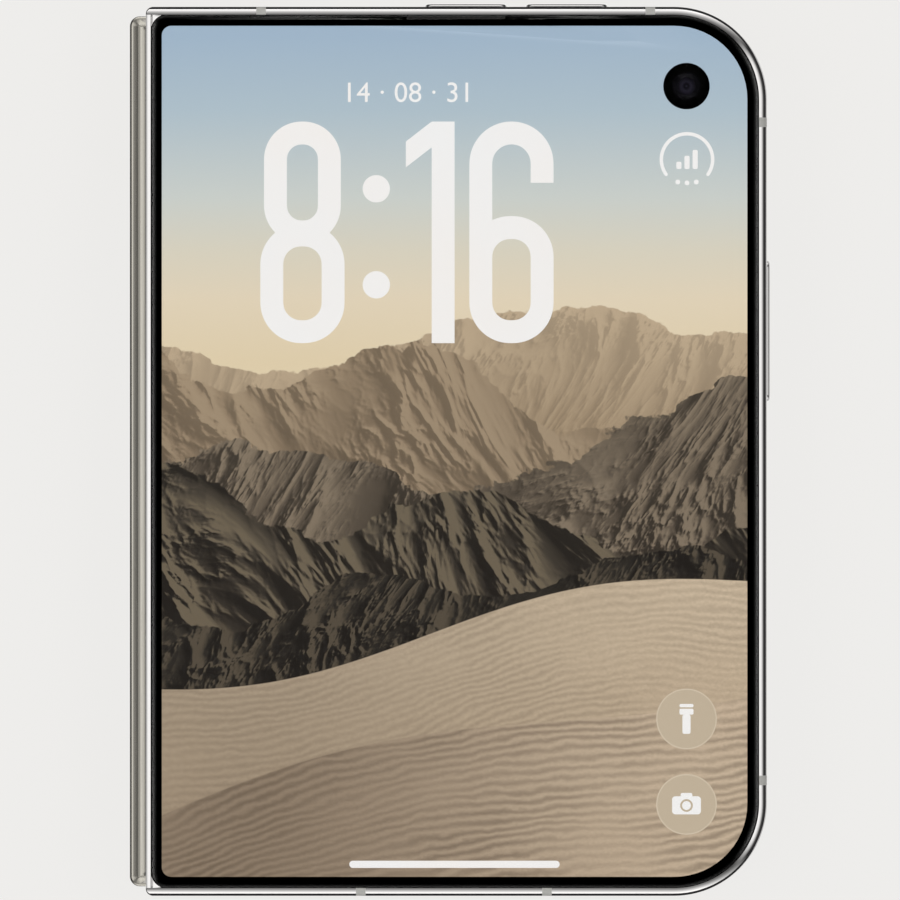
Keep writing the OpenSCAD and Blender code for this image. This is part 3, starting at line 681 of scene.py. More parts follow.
# ---- Port and sound holes --------------------------------------------------
# The bottom edge of the rear half: an oval mouth for the port and two rows of five
# drilled holes, one over the loudspeaker and the other for the microphone.
port_low, port_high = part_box("usb_port")
mouth_gap = 0.02 * MM
hole_r = 0.6 * MM
hole_step = 2.2 * MM
hole_first = 15.5 * MM
mouth = stadium((port_low[0] - mouth_gap, band_low[1] - MM, port_low[2] - mouth_gap),
                (port_high[0] + mouth_gap, band_low[1] + 2 * MM, port_high[2] + mouth_gap), 1, 16)
close(mouth, "mouth")
cut(rear_band, mouth)
port_x = (port_low[0] + port_high[0]) / 2
key_z = (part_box("side_button")[0][2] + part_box("side_button")[1][2]) / 2
bpy.ops.object.select_all(action="DESELECT")
bpy.ops.mesh.primitive_cylinder_add(vertices=24, radius=hole_r, depth=3 * MM, rotation=(math.pi / 2, 0, 0),
                                    location=(port_x + hole_first, band_low[1] + 0.5 * MM, key_z))
drills = bpy.context.object
bpy.ops.object.transform_apply(location=True, rotation=True)
edit(drills)
for k in range(4):
    bpy.ops.mesh.duplicate_move(TRANSFORM_OT_translate={"value": (hole_step, 0, 0)})
# the second row is the first one again, on the port's other side
whole()
bpy.ops.mesh.duplicate_move(TRANSFORM_OT_translate={"value": (-2 * hole_first - 4 * hole_step, 0, 0)})
close(drills, "drills")
cut(rear_band, drills)
for piece in (band, rear_band):
    weigh(piece)

# ---- Lit display -----------------------------------------------------------
# The cover display's panel shows a picture: a pale dawn sky over ridges that fall back
# into haze, and two long banks of rippled sand in front. It is all worked out in nodes.
SHINE = 1.08
picture, nodes, surface = material("lit_panel", "#050505", 0.3, Emission_Strength=SHINE)
place = add(nodes, "SeparateXYZ", add(nodes, "TexCoord", out="Object")).node.outputs
# positions on the panel in millimetres
px, py = (add(nodes, "Math", part, 1000.0, operation="MULTIPLY") for part in place[:2])


def clouded(scale, detail, stretch, rough, seed):
    """Cloudy variation with a cell size of 1 / scale millimetres, stretched along x."""
    at = add(nodes, "CombineXYZ", add(nodes, "Math", px, stretch, operation="DIVIDE"), py, seed)
    return add(nodes, "TexNoise", {"Vector": at, "Scale": scale, "Detail": detail, "Roughness": rough})


def wander(amount, *cloud):
    """The same variation, to either side of nothing, in millimetres."""
    off = add(nodes, "Math", clouded(*cloud), 0.5, operation="SUBTRACT")
    return add(nodes, "Math", off, amount, operation="MULTIPLY")


def skyline(base, rise, swell, length, start):
    """The height of a rolling outline in millimetres: a slope per 40 mm with one long wave on it."""
    angle = add(nodes, "Math", px, 2 * math.pi / length, operation="MULTIPLY")
    wave = add(nodes, "Math", add(nodes, "Math", angle, start, operation="ADD"), operation="SINE")
    slope = add(nodes, "Math", px, rise / 40, base, operation="MULTIPLY_ADD")
    return add(nodes, "Math", slope, add(nodes, "Math", wave, swell, operation="MULTIPLY"), operation="ADD")


painted = add(nodes, "ValToRGB", add(nodes, "MapRange", py, 12.0, 56.0))
stops = painted.node.color_ramp.elements
for where, code in ((0.0, "#DCCBAA"), (0.19, "#DED0B6"), (0.34, "#D5CFBD"), (0.50, "#C8CDC8"),
                    (0.77, "#ADBEC8")):
    stops.new(where).color = linear(code)
stops.remove(stops[0])
stops[-1].color = linear("#9FB4C7")

# ridges: base height, rise per 40 mm to the right, swell, its length and start, ruggedness, size of
# the spurs, colours of crest and foot, of lit flanks, and how strongly light and shade fall
ridges = ((15.5, 3.0, 3.2, 62.0, 0.4, 3.5, 0.060, "#B7A388", "#A18D73", "#C3AF92", 0.22),
          (8.5, -5.5, 4.5, 49.0, 2.2, 5.0, 0.052, "#98856D", "#84735E", "#AD9A80", 0.40),
          (-0.5, 4.5, 4.5, 71.0, 4.4, 6.0, 0.050, "#6A5F51", "#5B5145", "#8A7C69", 0.70),
          (-9.0, -3.0, 4.0, 44.0, 1.0, 5.0, 0.060, "#4D463C", "#3C362F", "#706553", 0.85),
          (-18.0, 4.0, 2.5, 38.0, 3.3, 4.0, 0.080, "#34302A", "#292521", "#574E41", 0.9))


def rock_height(k, size, right, up):
    """Height of the rock at a small step aside: sharp spurs and gullies that run down from the crest."""
    x = add(nodes, "Math", px, right, operation="ADD")
    y = add(nodes, "Math", py, up, operation="ADD")
    lean = add(nodes, "Math", y, 0.6 if k % 2 else -0.6, operation="MULTIPLY")
    lean = add(nodes, "Math", x, lean, operation="ADD")
    at = add(nodes, "CombineXYZ", lean, add(nodes, "Math", y, 0.55, operation="MULTIPLY"), 9.0 * k)
    return add(nodes, "TexNoise", {"Vector": at, "Scale": size, "Detail": 9.0, "Roughness": 0.62,
                                   "Lacunarity": 2.1, "Offset": 0.9, "Gain": 1.6, "Distortion": 0.35},
               noise_type="RIDGED_MULTIFRACTAL", normalize=False)


for k, (base, rise, swell, length, start, rugged, size, crest, foot, bright, contrast) in enumerate(ridges):
    rough_line = wander(2 * rugged, 0.09, 7.0, 1.0, 0.6, 7.0 * k)
    crown = add(nodes, "Math", skyline(base, rise, swell, length, start), rough_line, operation="ADD")
    below = add(nodes, "Math", crown, py, operation="SUBTRACT")
    # light comes from the upper right: the fall in height towards it is lit or shaded
    here = rock_height(k, size, 0.0, 0.0)
    fall = add(nodes, "Math", here, rock_height(k, size, 0.32, 0.22), operation="SUBTRACT")
    lit = add(nodes, "MapRange", fall, -0.10, 0.10, interpolation_type="SMOOTHSTEP")
    # pits between the spurs, lit flanks and shaded flanks
    coats = []
    for share, *limits in ((0.5, here, 0.2, 1.5, 1.0, 0.0), (1.0, lit, 0.5, 1.0), (1.0, lit, 0.5, 0.0)):
        spread = add(nodes, "MapRange", *limits)
        coats.append(add(nodes, "Math", spread, share * contrast, operation="MULTIPLY"))
    deep, sunny, shady = coats
    rock = crest
    for amount, colour in ((add(nodes, "MapRange", below, 0.0, 16.0), foot), (deep, "#26221E"),
                           (sunny, bright), (shady, "#1D1A17")):
        rock = add(nodes, "Mix", {0: amount, 6: rock, 7: colour}, out=2, data_type="RGBA")
    edge = add(nodes, "MapRange", below, 0.0, 0.16)
    painted = add(nodes, "Mix", {0: edge, 6: painted, 7: rock}, out=2, data_type="RGBA")

# sand: base height, rise per 40 mm, swell, its length and start, crown and foot colour, ripple
# spacing and depth, and how far its left end lies in shade
banks = ((-24.5, 6.5, 3.0, 88.0, 0.2, "#CBB89E", "#B9A48A", 1.05, 0.24, 0.42),
         (-40.5, 10.5, 3.6, 120.0, 2.4, "#C9B49B", "#C2AD94", 1.20, 0.50, 0.66))
for k, (base, rise, swell, length, start, crest, foot, spacing, relief, shade) in enumerate(banks):
    below = add(nodes, "Math", skyline(base, rise, swell, length, start), py, operation="SUBTRACT")
    # the ripples are a comb of even lines that drifts and wanders, strong in some patches
    run = add(nodes, "Math", below, wander(5.5, 0.07, 3.0, 2.2, 0.5, 11.0 + k), operation="ADD")
    run = add(nodes, "Math", run, wander(1.6, 0.35, 3.0, 1.6, 0.6, 21.0 + k), operation="ADD")
    comb = add(nodes, "Math", run, 2 * math.pi / spacing, operation="MULTIPLY")
    comb = add(nodes, "Math", add(nodes, "Math", comb, operation="SINE"), 0.5, 0.5, operation="MULTIPLY_ADD")
    patch = add(nodes, "MapRange", clouded(0.10, 3.0, 1.8, 0.5, 31.0 + k), 0.35, 0.65, 0.35, 1.0)
    comb = add(nodes, "Math", comb, patch, operation="MULTIPLY")
    comb = add(nodes, "Math", comb, relief, operation="MULTIPLY")
    cloud = add(nodes, "MapRange", clouded(0.05, 3.0, 2.5, 0.5, 41.0 + k), 0.3, 0.7, 0.0, 0.35)
    dusk = add(nodes, "MapRange", px, -30.0, 42.0, shade, 0.0, interpolation_type="SMOOTHSTEP")
    grit = add(nodes, "MapRange", clouded(3.5, 3.0, 1.4, 0.7, 51.0 + k), 0.35, 0.75, 0.0, 0.22)
    sand = crest
    for amount, colour in ((add(nodes, "MapRange", below, 0.0, 30.0), foot), (cloud, "#CDBBA2"),
                           (dusk, "#5E4F40"), (grit, "#5F5040"), (comb, "#54473A")):
        sand = add(nodes, "Mix", {0: amount, 6: sand, 7: colour}, out=2, data_type="RGBA")
    edge = add(nodes, "MapRange", below, 0.0, 0.12)
    painted = add(nodes, "Mix", {0: edge, 6: painted, 7: sand}, out=2, data_type="RGBA")
nodes.links.new(painted, surface.inputs["Emission Color"])
paint(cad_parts["cover_display"], picture)

# ---- Signs on the display --------------------------------------------------
# What the panel draws over the picture: a tall clock, a date in plain numbers, a ring
# of signal marks, two round buttons with pictograms and a bar. Each is one thin sheet.
panel_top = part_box("cover_display")[1][2]
sign_t = 0.02 * MM


def glow_paint(name, code, streak):
    """The colour of lit pixels, with the faint unevenness that a panel has."""
    mat, tree, top = material(name, "#050505", 0.4, Emission_Strength=SHINE)
    spot = add(tree, "TexCoord", out="Object")
    grain = add(tree, "TexNoise", {"Vector": spot, "Scale": 60.0, "Detail": 2.0})
    hue = add(tree, "Mix", {0: grain, 6: code, 7: streak}, out=2, data_type="RGBA")
    tree.links.new(hue, top.inputs["Emission Color"])
    return mat


white_pixels = glow_paint("white_pixels", "#EDEFF0", "#F1ECE7")
disc_pixels = glow_paint("disc_pixels", "#BFB09A", "#BDAD95")
edge_pixels = glow_paint("edge_pixels", "#D3C6B1", "#C8B9A2")


def box(x0, x1, y0, y1, radius, steps=16):
    """Adds a filled box to the open drawing, in millimetres, with round corners, selected."""
    bpy.ops.mesh.select_all(action="DESELECT")
    bpy.ops.mesh.primitive_plane_add(size=1, location=((x0 + x1) / 2 * MM, (y0 + y1) / 2 * MM, 0))
    bpy.ops.transform.resize(value=((x1 - x0) * MM, (y1 - y0) * MM, 1))
    if radius:
        bevel(radius * MM, steps, "VERTICES")


def disc(x, y, radius, steps=48):
    """Adds a filled disc to the open drawing, in millimetres, selected."""
    bpy.ops.mesh.select_all(action="DESELECT")
    bpy.ops.mesh.primitive_circle_add(vertices=steps, radius=radius * MM, fill_type="NGON",
                                      location=(x * MM, y * MM, 0))


def hollow(width):
    """Leaves only a rim of a width of the selected face."""
    bpy.ops.mesh.inset(thickness=width * MM)
    bpy.ops.mesh.delete(type="FACE")


def pick_level(y):
    """Selects the level edge at a height of the open drawing, to draw a line on from it."""
    pick("EDGE", lambda p, way: abs(p.y - y * MM) < HAIR / 2 and abs(way.x) > 0.99)


def raise_sheet(mat, level=0.0, thick=sign_t):
    """Gives the open drawing its thickness and its place on the panel."""
    obj = bpy.context.object
    whole()
    bpy.ops.mesh.remove_doubles(threshold=1e-6)
    bpy.ops.mesh.normals_make_consistent(inside=False)
    whole()
    pull(0, 0, thick)
    move(0, 0, panel_top + level)
    close(obj, obj.name)
    fit(obj, mat, "cover_half")
    return obj


STEM = 3.1
CLOCK_LOW = 14.4
CLOCK_HIGH = 44.4
# eight: two closed loops
loops = []
for name, place, radius in (("clock_eight", (-25.7, -14.3, CLOCK_LOW, 30.6), 5.5),
                            ("upper_loop", (-25.2, -14.8, 27.9, CLOCK_HIGH), 5.1)):
    blank(name)
    box(*place, radius)
    hollow(STEM)
    loops.append(raise_sheet(white_pixels))
cut(*loops, "UNION")
# colon
blank("clock_colon")
for y in (35.3, 22.3):
    disc(-10.0, y, 1.85)
raise_sheet(white_pixels)
# one: a stem with a flag
one_x = -2.5
flag_y = 3.5
blank("clock_one")
box(one_x, one_x + STEM, CLOCK_LOW, CLOCK_HIGH, 0)
pick("EDGE", lambda p, way: p.x < one_x * MM + HAIR)
bpy.ops.mesh.subdivide(number_cuts=1)
pick("VERT", lambda p, way: p.x < one_x * MM + HAIR and 20 * MM < p.y < 40 * MM)
bpy.ops.transform.translate(value=(0, (CLOCK_HIGH - flag_y - (CLOCK_LOW + CLOCK_HIGH) / 2) * MM, 0))
pick("EDGE", lambda p, way: p.x < one_x * MM + HAIR and p.y > (CLOCK_HIGH - flag_y + 0.5) * MM)
pull(-3.5 * MM, -2.7 * MM, 0)
raise_sheet(white_pixels)
# six: a loop, with a neck that turns over at the top
six_x = 2.6
neck_y = 22.0
stub = 0.02
blank("clock_six")
box(six_x, 14.0, CLOCK_LOW, 31.6, 5.5)
hollow(STEM)
clock_six = raise_sheet(white_pixels)
blank("neck")
box(six_x, six_x + STEM, neck_y - stub / 2, neck_y + stub / 2, 0)
pick_level(neck_y + stub / 2)
pull(0, 16.7 * MM, 0)
spin(24, math.pi, (8.3 * MM, 38.71 * MM, 0))
pull(0, -2.6 * MM, 0)
cut(clock_six, raise_sheet(white_pixels), "UNION")

# date, in plain numbers
bpy.ops.object.select_all(action="DESELECT")
bpy.ops.object.text_add(location=(-5.7 * MM, 47.05 * MM, panel_top))
letters = bpy.context.object.data
letters.body = "14 · 08 · 31"
letters.size = 3.85 * MM
letters.align_x = "CENTER"
letters.resolution_u = 6
letters.extrude = sign_t / 2
bpy.ops.object.convert(target="MESH")
bpy.ops.object.transform_apply(location=True, rotation=True, scale=True)
date_sign = bpy.context.object
edit(date_sign)
move(0, 0, sign_t / 2)
close(date_sign, "date_numbers")
fit(date_sign, white_pixels, "cover_half")

# signal marks: an open ring round three bars, with three dots under it
RING_X = 32.07
RING_Y = 39.27
RING_R = 3.48
RING_W = 0.47
RING_PAST = 0.62
blank("signal_ring")
box(RING_X - RING_R - RING_W / 2, RING_X - RING_R + RING_W / 2, RING_Y - stub / 2, RING_Y + stub / 2, 0)
pick_level(RING_Y + stub / 2)
spin(24, math.pi + RING_PAST, (RING_X * MM, RING_Y * MM, 0))
pick_level(RING_Y - stub / 2)
spin(6, -RING_PAST, (RING_X * MM, RING_Y * MM, 0))
for end in (math.pi + RING_PAST, -RING_PAST):
    disc(RING_X + RING_R * math.cos(end), RING_Y + RING_R * math.sin(end), RING_W / 2, 16)
raise_sheet(white_pixels)
blank("signal_marks")
for k, tall in enumerate((1.0, 1.8, 2.6)):
    box(RING_X - 1.45 + 1.1 * k, RING_X - 0.75 + 1.1 * k, RING_Y - 1.3, RING_Y - 1.3 + tall, 0.2, 4)
for k, drop in ((-1, 3.05), (0, 3.17), (1, 3.05)):
    disc(RING_X + 1.25 * k, RING_Y - drop, 0.33, 20)
raise_sheet(white_pixels)

# two round buttons, a torch and a camera
BUTTON_X = 32.0
BUTTON_R = 4.1
for k, y in enumerate((-36.48, -48.05)):
    blank(f"button_disc_{k + 1}")
    disc(BUTTON_X, y, BUTTON_R - 0.12, 96)
    raise_sheet(disc_pixels)
    blank(f"button_rim_{k + 1}")
    disc(BUTTON_X, y, BUTTON_R, 96)
    hollow(0.16)
    raise_sheet(edge_pixels)
# half width, lower and upper end, corner radius and its steps
torch_parts = ((0.55, -38.5, -35.9, 0.25, 5), (0.95, -35.9, -35.1, 0.2, 5), (0.95, -34.9, -34.45, 0.2, 5))
camera_parts = ((1.95, -49.4, -46.95, 0.45, 6), (0.8, -47.1, -46.5, 0.25, 4))
for name, parts in (("torch_sign", torch_parts), ("camera_sign", camera_parts)):
    blank(name)
    for half, low, high, radius, steps in parts:
        box(BUTTON_X - half, BUTTON_X + half, low, high, radius, steps)
    raise_sheet(white_pixels, sign_t, sign_t / 2)
blank("camera_sign_ring")
disc(BUTTON_X, -48.2, 0.86)
hollow(0.26)
raise_sheet(disc_pixels, 1.5 * sign_t, sign_t / 2)

# the bar at the foot
blank("foot_bar")
box(-13.65, 14.82, -56.65, -55.68, 0.48, 10)
raise_sheet(white_pixels)

# ---- Cover print, front camera and earpiece --------------------------------
# Black ink behind the glass hides all but the lit area. The camera looks through a hole
# in the display: a black barrel, a dished stop and a small coated lens.

# screen-printed ink: dead black, dull
ink = uneven("printed_ink", "#040404", "#080808", 0.5, 0.7, 5000, Specular_IOR_Level=0.15)
paint(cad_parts["cover_mask"], ink)
# woven steel, seen through the slit as a dull grey line
woven = uneven("woven_steel", "#4A4A4A", "#6E6D6B", 0.3, 0.5, 9000, Metallic=1.0)
paint(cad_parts["earpiece_mesh"], woven)


def dome(name, x, y, base, radius, rise):
    """A shallow lens: the cap of a ball, flattened, or turned down for a rise below nothing."""
    ball_r = 1.5 * radius
    level = math.sqrt(ball_r ** 2 - radius ** 2)
    bpy.ops.object.select_all(action="DESELECT")
    bpy.ops.mesh.primitive_uv_sphere_add(segments=64, ring_count=64, radius=ball_r, location=(0, 0, 0))
    obj = bpy.context.object
    edit(obj)
    saw((0, 0, level), (0, 0, 1), clear_inner=True, use_fill=True)
    squash(rise / (ball_r - level), level)
    bpy.ops.transform.translate(value=(x, y, base - level))
    close(obj, name)
    return obj


cam_low, cam_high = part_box("front_camera")
cam_x = (cam_low[0] + cam_high[0]) / 2
cam_y = (cam_low[1] + cam_high[1]) / 2
RING_REACH = 3.0


def ringed(name, stops):
    """Dark glass or metal that changes colour in rings round the front camera's middle, by radius in mm."""
    mat, tree, top = material(name, stops[0][1], 0.3, Specular_IOR_Level=0.12)
    at = add(tree, "Mapping", add(tree, "TexCoord", out="Object"), (-cam_x, -cam_y, 0))
    flat_at = add(tree, "VectorMath", at, (1000.0, 1000.0, 0.0), operation="MULTIPLY")
    far = add(tree, "VectorMath", flat_at, out="Value", operation="LENGTH")
    rings = add(tree, "ValToRGB", add(tree, "MapRange", far, 0.0, RING_REACH))
    bands = rings.node.color_ramp.elements
    for radius, code in stops[1:-1]:
        bands.new(radius / RING_REACH).color = linear(code)
    bands[0].color = linear(stops[0][1])
    bands[-1].color = linear(stops[-1][1])
    tree.links.new(rings, top.inputs["Base Color"])
    return mat


# the front camera: anti-reflective glass over a dark stop, both faintly indigo; the lens's lighter middle and
# lighter ring are painted reflections
front_glass = ringed("lens_with_painted_reflections", (
    (0.0, "#3E3B4C"), (0.25, "#1A1922"), (0.65, "#3A3747"), (1.2, "#25232D"), (3.0, "#1F1D26")))
front_stop = ringed("blackened_stop", (
    (0.0, "#25232D"), (1.3, "#201F27"), (1.8, "#1B1A20"), (2.1, "#070708"), (3.0, "#040404")))
paint(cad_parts["front_camera"], front_stop)
front_lens = dome("front_lens", cam_x, cam_y, cam_high[2] - 0.40 * MM, 1.19 * MM, 0.1 * MM)
fit(front_lens, front_glass, "cover_half")

# ---- Rear cameras ----------------------------------------------------------
# A raised island of the same matt glass carries two lens windows in polished rings, a
# flash and a microphone hole. Behind each window is a stepped black barrel with a lens.
isle_low, isle_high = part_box("camera_plateau")
ring_low, ring_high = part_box("lens_rings")
ring_r = (ring_high[1] - ring_low[1]) / 2
eye_y = (ring_low[1] + ring_high[1]) / 2
eyes = (ring_low[0] + ring_r, ring_high[0] - ring_r)
flash_low, flash_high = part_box("flash_window")
flash_x = (flash_low[0] + flash_high[0]) / 2
flash_y = (flash_low[1] + flash_high[1]) / 2
flash_r = (flash_high[0] - flash_low[0]) / 2
well = 0.6 * MM
eye_bore_r = 4.7 * MM
microphone_r = 0.4 * MM
island = stadium(isle_low, isle_high, 2, 32)
pick("EDGE", lambda p, way: p.z < isle_low[2] + HAIR)
bevel(0.7 * MM, 8)
close(island, "camera_island")


def bore(obj, x, y, radius, low, high):
    """Drills a round hole from one level to another."""
    bpy.ops.object.select_all(action="DESELECT")
    bpy.ops.mesh.primitive_cylinder_add(vertices=64, radius=radius, depth=high - low,
                                        location=(x, y, (low + high) / 2))
    drill = bpy.context.object
    bpy.ops.object.transform_apply(location=True)
    cut(obj, drill)


for x in eyes:
    bore(island, x, eye_y, eye_bore_r, isle_low[2] - MM, isle_high[2] + MM)
    bore(rear_glass, x, eye_y, eye_bore_r, isle_high[2] - MM, isle_high[2] + 2 * MM)
bore(island, flash_x, flash_y, flash_r + 0.02 * MM, isle_low[2] - MM, isle_low[2] + well)
bore(island, flash_x, eye_y - 4 * MM, microphone_r, isle_low[2] - MM, isle_low[2] + well)
edit(island)
close(island, "camera_island")
fit(island, etched, "rear_half", "camera_plateau")

# lens ring: a rounded bead outside, and a ledge inside that carries the window
bead_w = 1.2 * MM
bead_t = 0.5 * MM
ledge_z = 0.4 * MM
rings = blank("rings")
bpy.ops.mesh.primitive_plane_add(size=1, location=(0, 0, 0), rotation=(math.pi / 2, 0, 0))
bpy.ops.transform.resize(value=(bead_w, 1, bead_t))
bpy.ops.transform.translate(value=(ring_r - bead_w / 2, 0, bead_t / 2))
pick("VERT", lambda p, way: p.z < HAIR)
bevel(0.17 * MM, 5, "VERTICES")
saw((0, 0, ledge_z), (0, 0, 1))
pick("EDGE", lambda p, way: p.x < ring_r - bead_w + HAIR and p.z > ledge_z)
pull(-0.7 * MM, 0, 0)
pick("FACE", lambda p, way: True)
bpy.ops.mesh.dissolve_faces()
whole()
bpy.ops.mesh.delete(type="ONLY_FACE")
whole()
spin(96, 2 * math.pi, (0, 0, 0))
close(rings, "rings")

# window: a thin disc, clear of the ledge, with its edges broken
window_r = 6.05
window_t = 0.27 * MM
window_z = 0.1 * MM
window = blank("window")
disc(0, 0, window_r, 96)
pull(0, 0, window_t)
move(0, 0, window_z)
pick("EDGE", lambda p, way: abs(way.z) < 0.1)
bevel(0.06 * MM, 3)
close(window, "window")

# barrel: steps down to the lens, on a square block that holds the sensor
barrel_r = 4.45
barrel_wall = 1.6 * MM
block_half = 5.75 * MM
block_z = 2.15 * MM
eye_z = 1.72 * MM
eye_r = 2.2 * MM
eye_rise = 0.28 * MM
barrel = blank("barrel")
disc(0, 0, barrel_r, 96)
for rim, depth in ((1.0, 0.22), (0.3, 0.22), (0.35, 0.3), (0.4, 0.35)):
    bpy.ops.mesh.inset(thickness=rim * MM)
    pull(0, 0, depth * MM)
bpy.ops.mesh.inset(thickness=0.25 * MM)
pick("EDGE", lambda p, way: p.xy.length > (barrel_r - 0.05) * MM and p.z < HAIR)
pull(0, 0, barrel_wall)
bpy.ops.mesh.edge_face_add()
move(0, 0, well)
close(barrel, "barrel", 30)
block = cube((-block_half, -block_half, block_z), (block_half, block_half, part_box("rear_cameras")[1][2]))
edit(block)
pick("EDGE", lambda p, way: True)
bevel(0.25 * MM, 3)
close(block, "block")
cut(barrel, block, "UNION")
glass_eye = dome("glass_eye", 0, 0, eye_z, eye_r, -eye_rise)

# crystal of the lens windows: hard and clear
crystal = uneven("crystal", "#FCFCFF", "#FFFFFF", 0.0, 0.01, 500, Transmission_Weight=1.0, IOR=1.6)
# blackened aluminium: black with a dusty sheen
blackened = uneven("blackened_aluminium", "#060606", "#0D0C0D", 0.5, 0.65, 4000, Specular_IOR_Level=0.12)
# coated glass: black depth, and a thin film that turns its reflection indigo
coated = uneven("coated_lens", "#0E0D15", "#15131E", 0.03, 0.06, 900, IOR=1.5,
                Thin_Film_Thickness=430.0, Thin_Film_IOR=1.7)
for original, name, mat, node, slot_name in (
        (rings, "lens_ring", polished, "lens_rings", "ring_metal"),
        (window, "lens_window", crystal, "lens_glasses", "lens_glass"),
        (barrel, "camera_barrel", blackened, "rear_cameras", "black_camera"),
        (glass_eye, "camera_lens", coated, None, "lens_glass")):
    for k, x in enumerate(eyes):
        piece = copy(original, f"{name}_{k + 1}")
        edit(piece)
        move(x, eye_y, 0)
        bpy.ops.object.mode_set(mode="OBJECT")
        fit(piece, mat, "rear_half", node)
    bpy.data.objects.remove(original)

# flash: a moulded lens with fine steps
flash_ring = 2.45
flash = blank("flash")
disc(flash_x / MM, flash_y / MM, flash_ring, 96)
for k in range(7):
    for rim, lift in ((0.16, 0.05), (0.12, -0.05)):
        bpy.ops.mesh.inset(thickness=rim * MM)
        bpy.ops.transform.translate(value=(0, 0, lift * MM))
pick("EDGE", lambda p, way: math.hypot(p.x - flash_x, p.y - flash_y) > (flash_ring - 0.03) * MM)
pull(0, 0, flash_high[2] - flash_low[2])
bpy.ops.mesh.edge_face_add()
move(0, 0, flash_low[2])
close(flash, "flash_lens", 20)
# milky acrylic over the phosphor: cream at the rim, yellow in the middle
acrylic, nodes, surface = material("milky_acrylic", "#EFE9D2", 0.2, IOR=1.49)
far = add(nodes, "VectorMath", add(nodes, "TexCoord", out="Object"), (flash_x, flash_y, 0), out="Value",
          operation="DISTANCE")
middle = add(nodes, "MapRange", far, 0.9 * MM, 1.5 * MM, 1.0, 0.0, interpolation_type="SMOOTHSTEP")
hue = add(nodes, "Mix", {0: middle, 6: "#EDE9DA", 7: "#E3C65C"}, out=2, data_type="RGBA")
nodes.links.new(hue, surface.inputs["Base Color"])
fit(flash, acrylic, "rear_half", "flash_window")

# ---- Folding display -------------------------------------------------------
# One film of display covers the inside of both halves. Its frame is soft black rubber.
# Between the flat parts it bends in a loose drop shape, half of it on each side.
film = uneven("folding_film", "#070708", "#0A0A0B", 0.10, 0.16, 300, relief=0.00001, IOR=1.5)
rubber = uneven("bezel_rubber", "#0E0E0F", "#171718", 0.55, 0.75, 3000, relief=0.00001)
for side_name in ("cover", "rear"):
    paint(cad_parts[side_name + "_inner_panel"], film)
    paint(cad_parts[side_name + "_inner_bezel"], rubber)
panel_low, panel_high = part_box("cover_inner_panel")
bend_low, bend_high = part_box("cover_bend")
film_t = panel_high[2] - panel_low[2]
seam = 0.04 * MM
start_x = panel_low[0] - seam
drop_r = bend_high[2] - fold - film_t / 2
drop_x = bend_low[0] + film_t / 2 + drop_r
mid = (panel_low[2] + panel_high[2]) / 2 - fold
run = (start_x - drop_x) / 2
arc = 2 * math.atan((drop_r - mid) / 2 / run)
arc_r = run / math.sin(arc)


def turning(steps, angle, x, z):
    """Turns the open film's end round an axis that runs along the fold."""
    spin(steps, angle, (x, bend_low[1], z), (0, 1, 0))


def side_face(name, x, y, z, wide, tall):
    """Opens a new mesh with one upright face, the section of a strip to be drawn out."""
    obj = blank(name)
    bpy.ops.mesh.primitive_plane_add(size=1, location=(0, 0, 0), rotation=(math.pi / 2, 0, 0))
    bpy.ops.transform.resize(value=(wide, 1, tall))
    bpy.ops.transform.translate(value=(x, y, z))
    return obj


bend = side_face("bend", panel_low[0] - seam / 2, bend_low[1], fold + mid, seam, film_t)
pick("EDGE", lambda p, way: p.x < start_x + HAIR)
turning(10, -arc, start_x, fold + mid + arc_r)
turning(10, arc, drop_x, fold + drop_r - arc_r)
turning(20, math.pi / 2, drop_x, fold)
pull(0, 0, -0.06 * MM)
whole()
pull(0, bend_high[1] - bend_low[1], 0)
close(bend, "cover_fold_film")
for piece, body, node, way in ((bend, "cover_half", "cover_bend", 1),
                               (mirrored(bend, "rear_fold_film"), "rear_half", "rear_bend", -1)):
    paint(piece, film)
    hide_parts(node)
    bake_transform(piece)

# ---- Hinge and inner parts -------------------------------------------------
# Inside, every part keeps its CAD shape: machined hinge steel, spring-steel plates, a
# polyimide ribbon, foil-wrapped cells, boards with shielding cans, small drive units.
inner_finishes = (
    # fine turning and milling lines along the hinge
    (uneven("machined_steel", "#8E8C88", "#ABA8A2", 0.22, 0.36, 1, (8000, 400, 8000), 0.000004, Metallic=1.0),
     "hinge_base hinge_pins cover_knuckles rear_knuckles cover_screws rear_screws"),
    # rolling lines across the plates
    (uneven("spring_steel", "#85847F", "#9D9B95", 0.28, 0.42, 1, (600, 7000, 7000), 0.000003, Metallic=1.0),
     "cover_plate rear_plate key_switches haptic_motor usb_port"),
    # a dull, slightly dimpled tin coat
    (uneven("tinned_can", "#B4B3AE", "#C9C8C3", 0.25, 0.4, 1500, relief=0.00001, Metallic=1.0),
     "shield_cans"),
    # dark foil with soft wrinkles
    (uneven("cell_foil", "#1B1C1F", "#2C2D31", 0.35, 0.55, 220, relief=0.00008, detail=4.0),
     "cover_battery rear_battery"),
    # satin black moulding
    (uneven("moulded_black", "#121213", "#1C1C1E", 0.45, 0.6, 3000, relief=0.00001),
     "loudspeaker earpiece_speaker"))
for mat, names in inner_finishes:
    for name in names.split():
        paint(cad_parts[name], mat)


def overlay(tree, amount, code):
    """Lays a second colour over a material's own, by an amount worked out in its nodes."""
    socket = tree.nodes["Principled BSDF"].inputs["Base Color"]
    own = socket.links[0].from_socket
    tree.links.new(add(tree, "Mix", {0: amount, 6: own, 7: code}, out=2, data_type="RGBA"), socket)


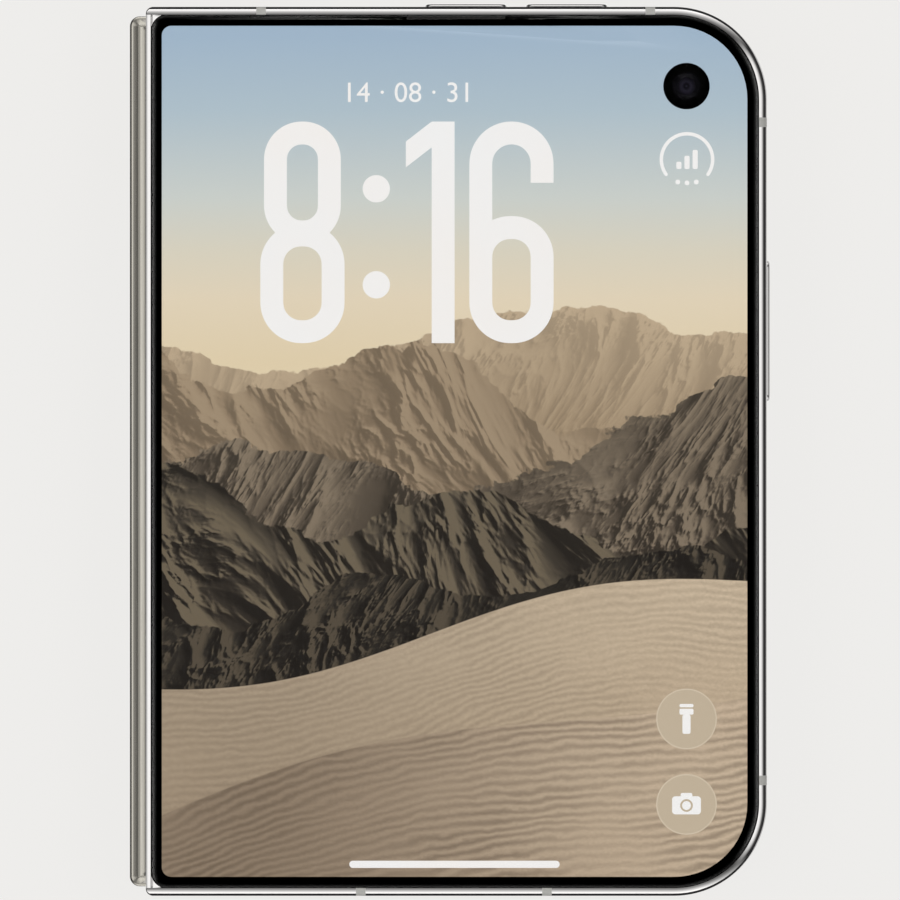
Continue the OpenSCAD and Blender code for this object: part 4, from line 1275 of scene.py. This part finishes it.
# boards: dark green mask over copper lands, in rows
board = uneven("board_mask", "#0C2A1E", "#12382A", 0.3, 0.45, 800)
nodes = board.node_tree
spot = add(nodes, "TexCoord", out="Object")
lands = add(nodes, "TexBrick", {"Vector": spot, "Scale": 1000.0, "Mortar Size": 0.12, "Brick Width": 0.9,
                                "Row Height": 0.6, "Color1": (1, 1, 1, 1), "Color2": (0.8, 0.8, 0.8, 1),
                                "Mortar": (0, 0, 0, 1)})
patches = add(nodes, "TexNoise", {"Vector": spot, "Scale": 180.0, "Detail": 1.0})
where = add(nodes, "MapRange", patches, 0.52, 0.56)
overlay(nodes, add(nodes, "Math", lands, where, operation="MULTIPLY"), "#B88A4A")
for name in ("cover_board", "logic_board"):
    paint(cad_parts[name], board)

# the ribbon runs from half to half round the back of the hinge
ribbon_low, ribbon_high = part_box("hinge_flex")
ribbon_t = 0.12 * MM
ribbon_r = 1.0 * MM
ribbon_run = ribbon_high[0] - ribbon_low[0] - ribbon_r
cover_ribbon = side_face("ribbon", ribbon_low[0] + ribbon_t / 2, ribbon_low[1], fold + ribbon_r / 2,
                         ribbon_t, ribbon_r)
pick("EDGE", lambda p, way: p.z > fold + ribbon_r - HAIR)
spin(12, -math.pi / 2, (ribbon_low[0] + ribbon_r, ribbon_low[1], fold + ribbon_r), (0, 1, 0))
for step in range(8):
    pull(ribbon_run / 8, 0, 0)
whole()
pull(0, ribbon_high[1] - ribbon_low[1], 0)
close(cover_ribbon, "cover_ribbon")
# amber polyimide over fine copper tracks that run across the fold
ribbon = uneven("polyimide_ribbon", "#8A4A12", "#A35C1C", 0.25, 0.4, 900)
nodes = ribbon.node_tree
tracks = add(nodes, "TexWave", {"Vector": add(nodes, "TexCoord", out="Object"), "Scale": 500.0}, out="Fac",
             bands_direction="Y")
overlay(nodes, tracks, "#6B3A12")
for piece, body, way in ((cover_ribbon, "cover_half", 1),
                         (mirrored(cover_ribbon, "rear_ribbon"), "rear_half", -1)):
    paint(piece, ribbon)
    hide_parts("hinge_flex")
    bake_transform(piece)
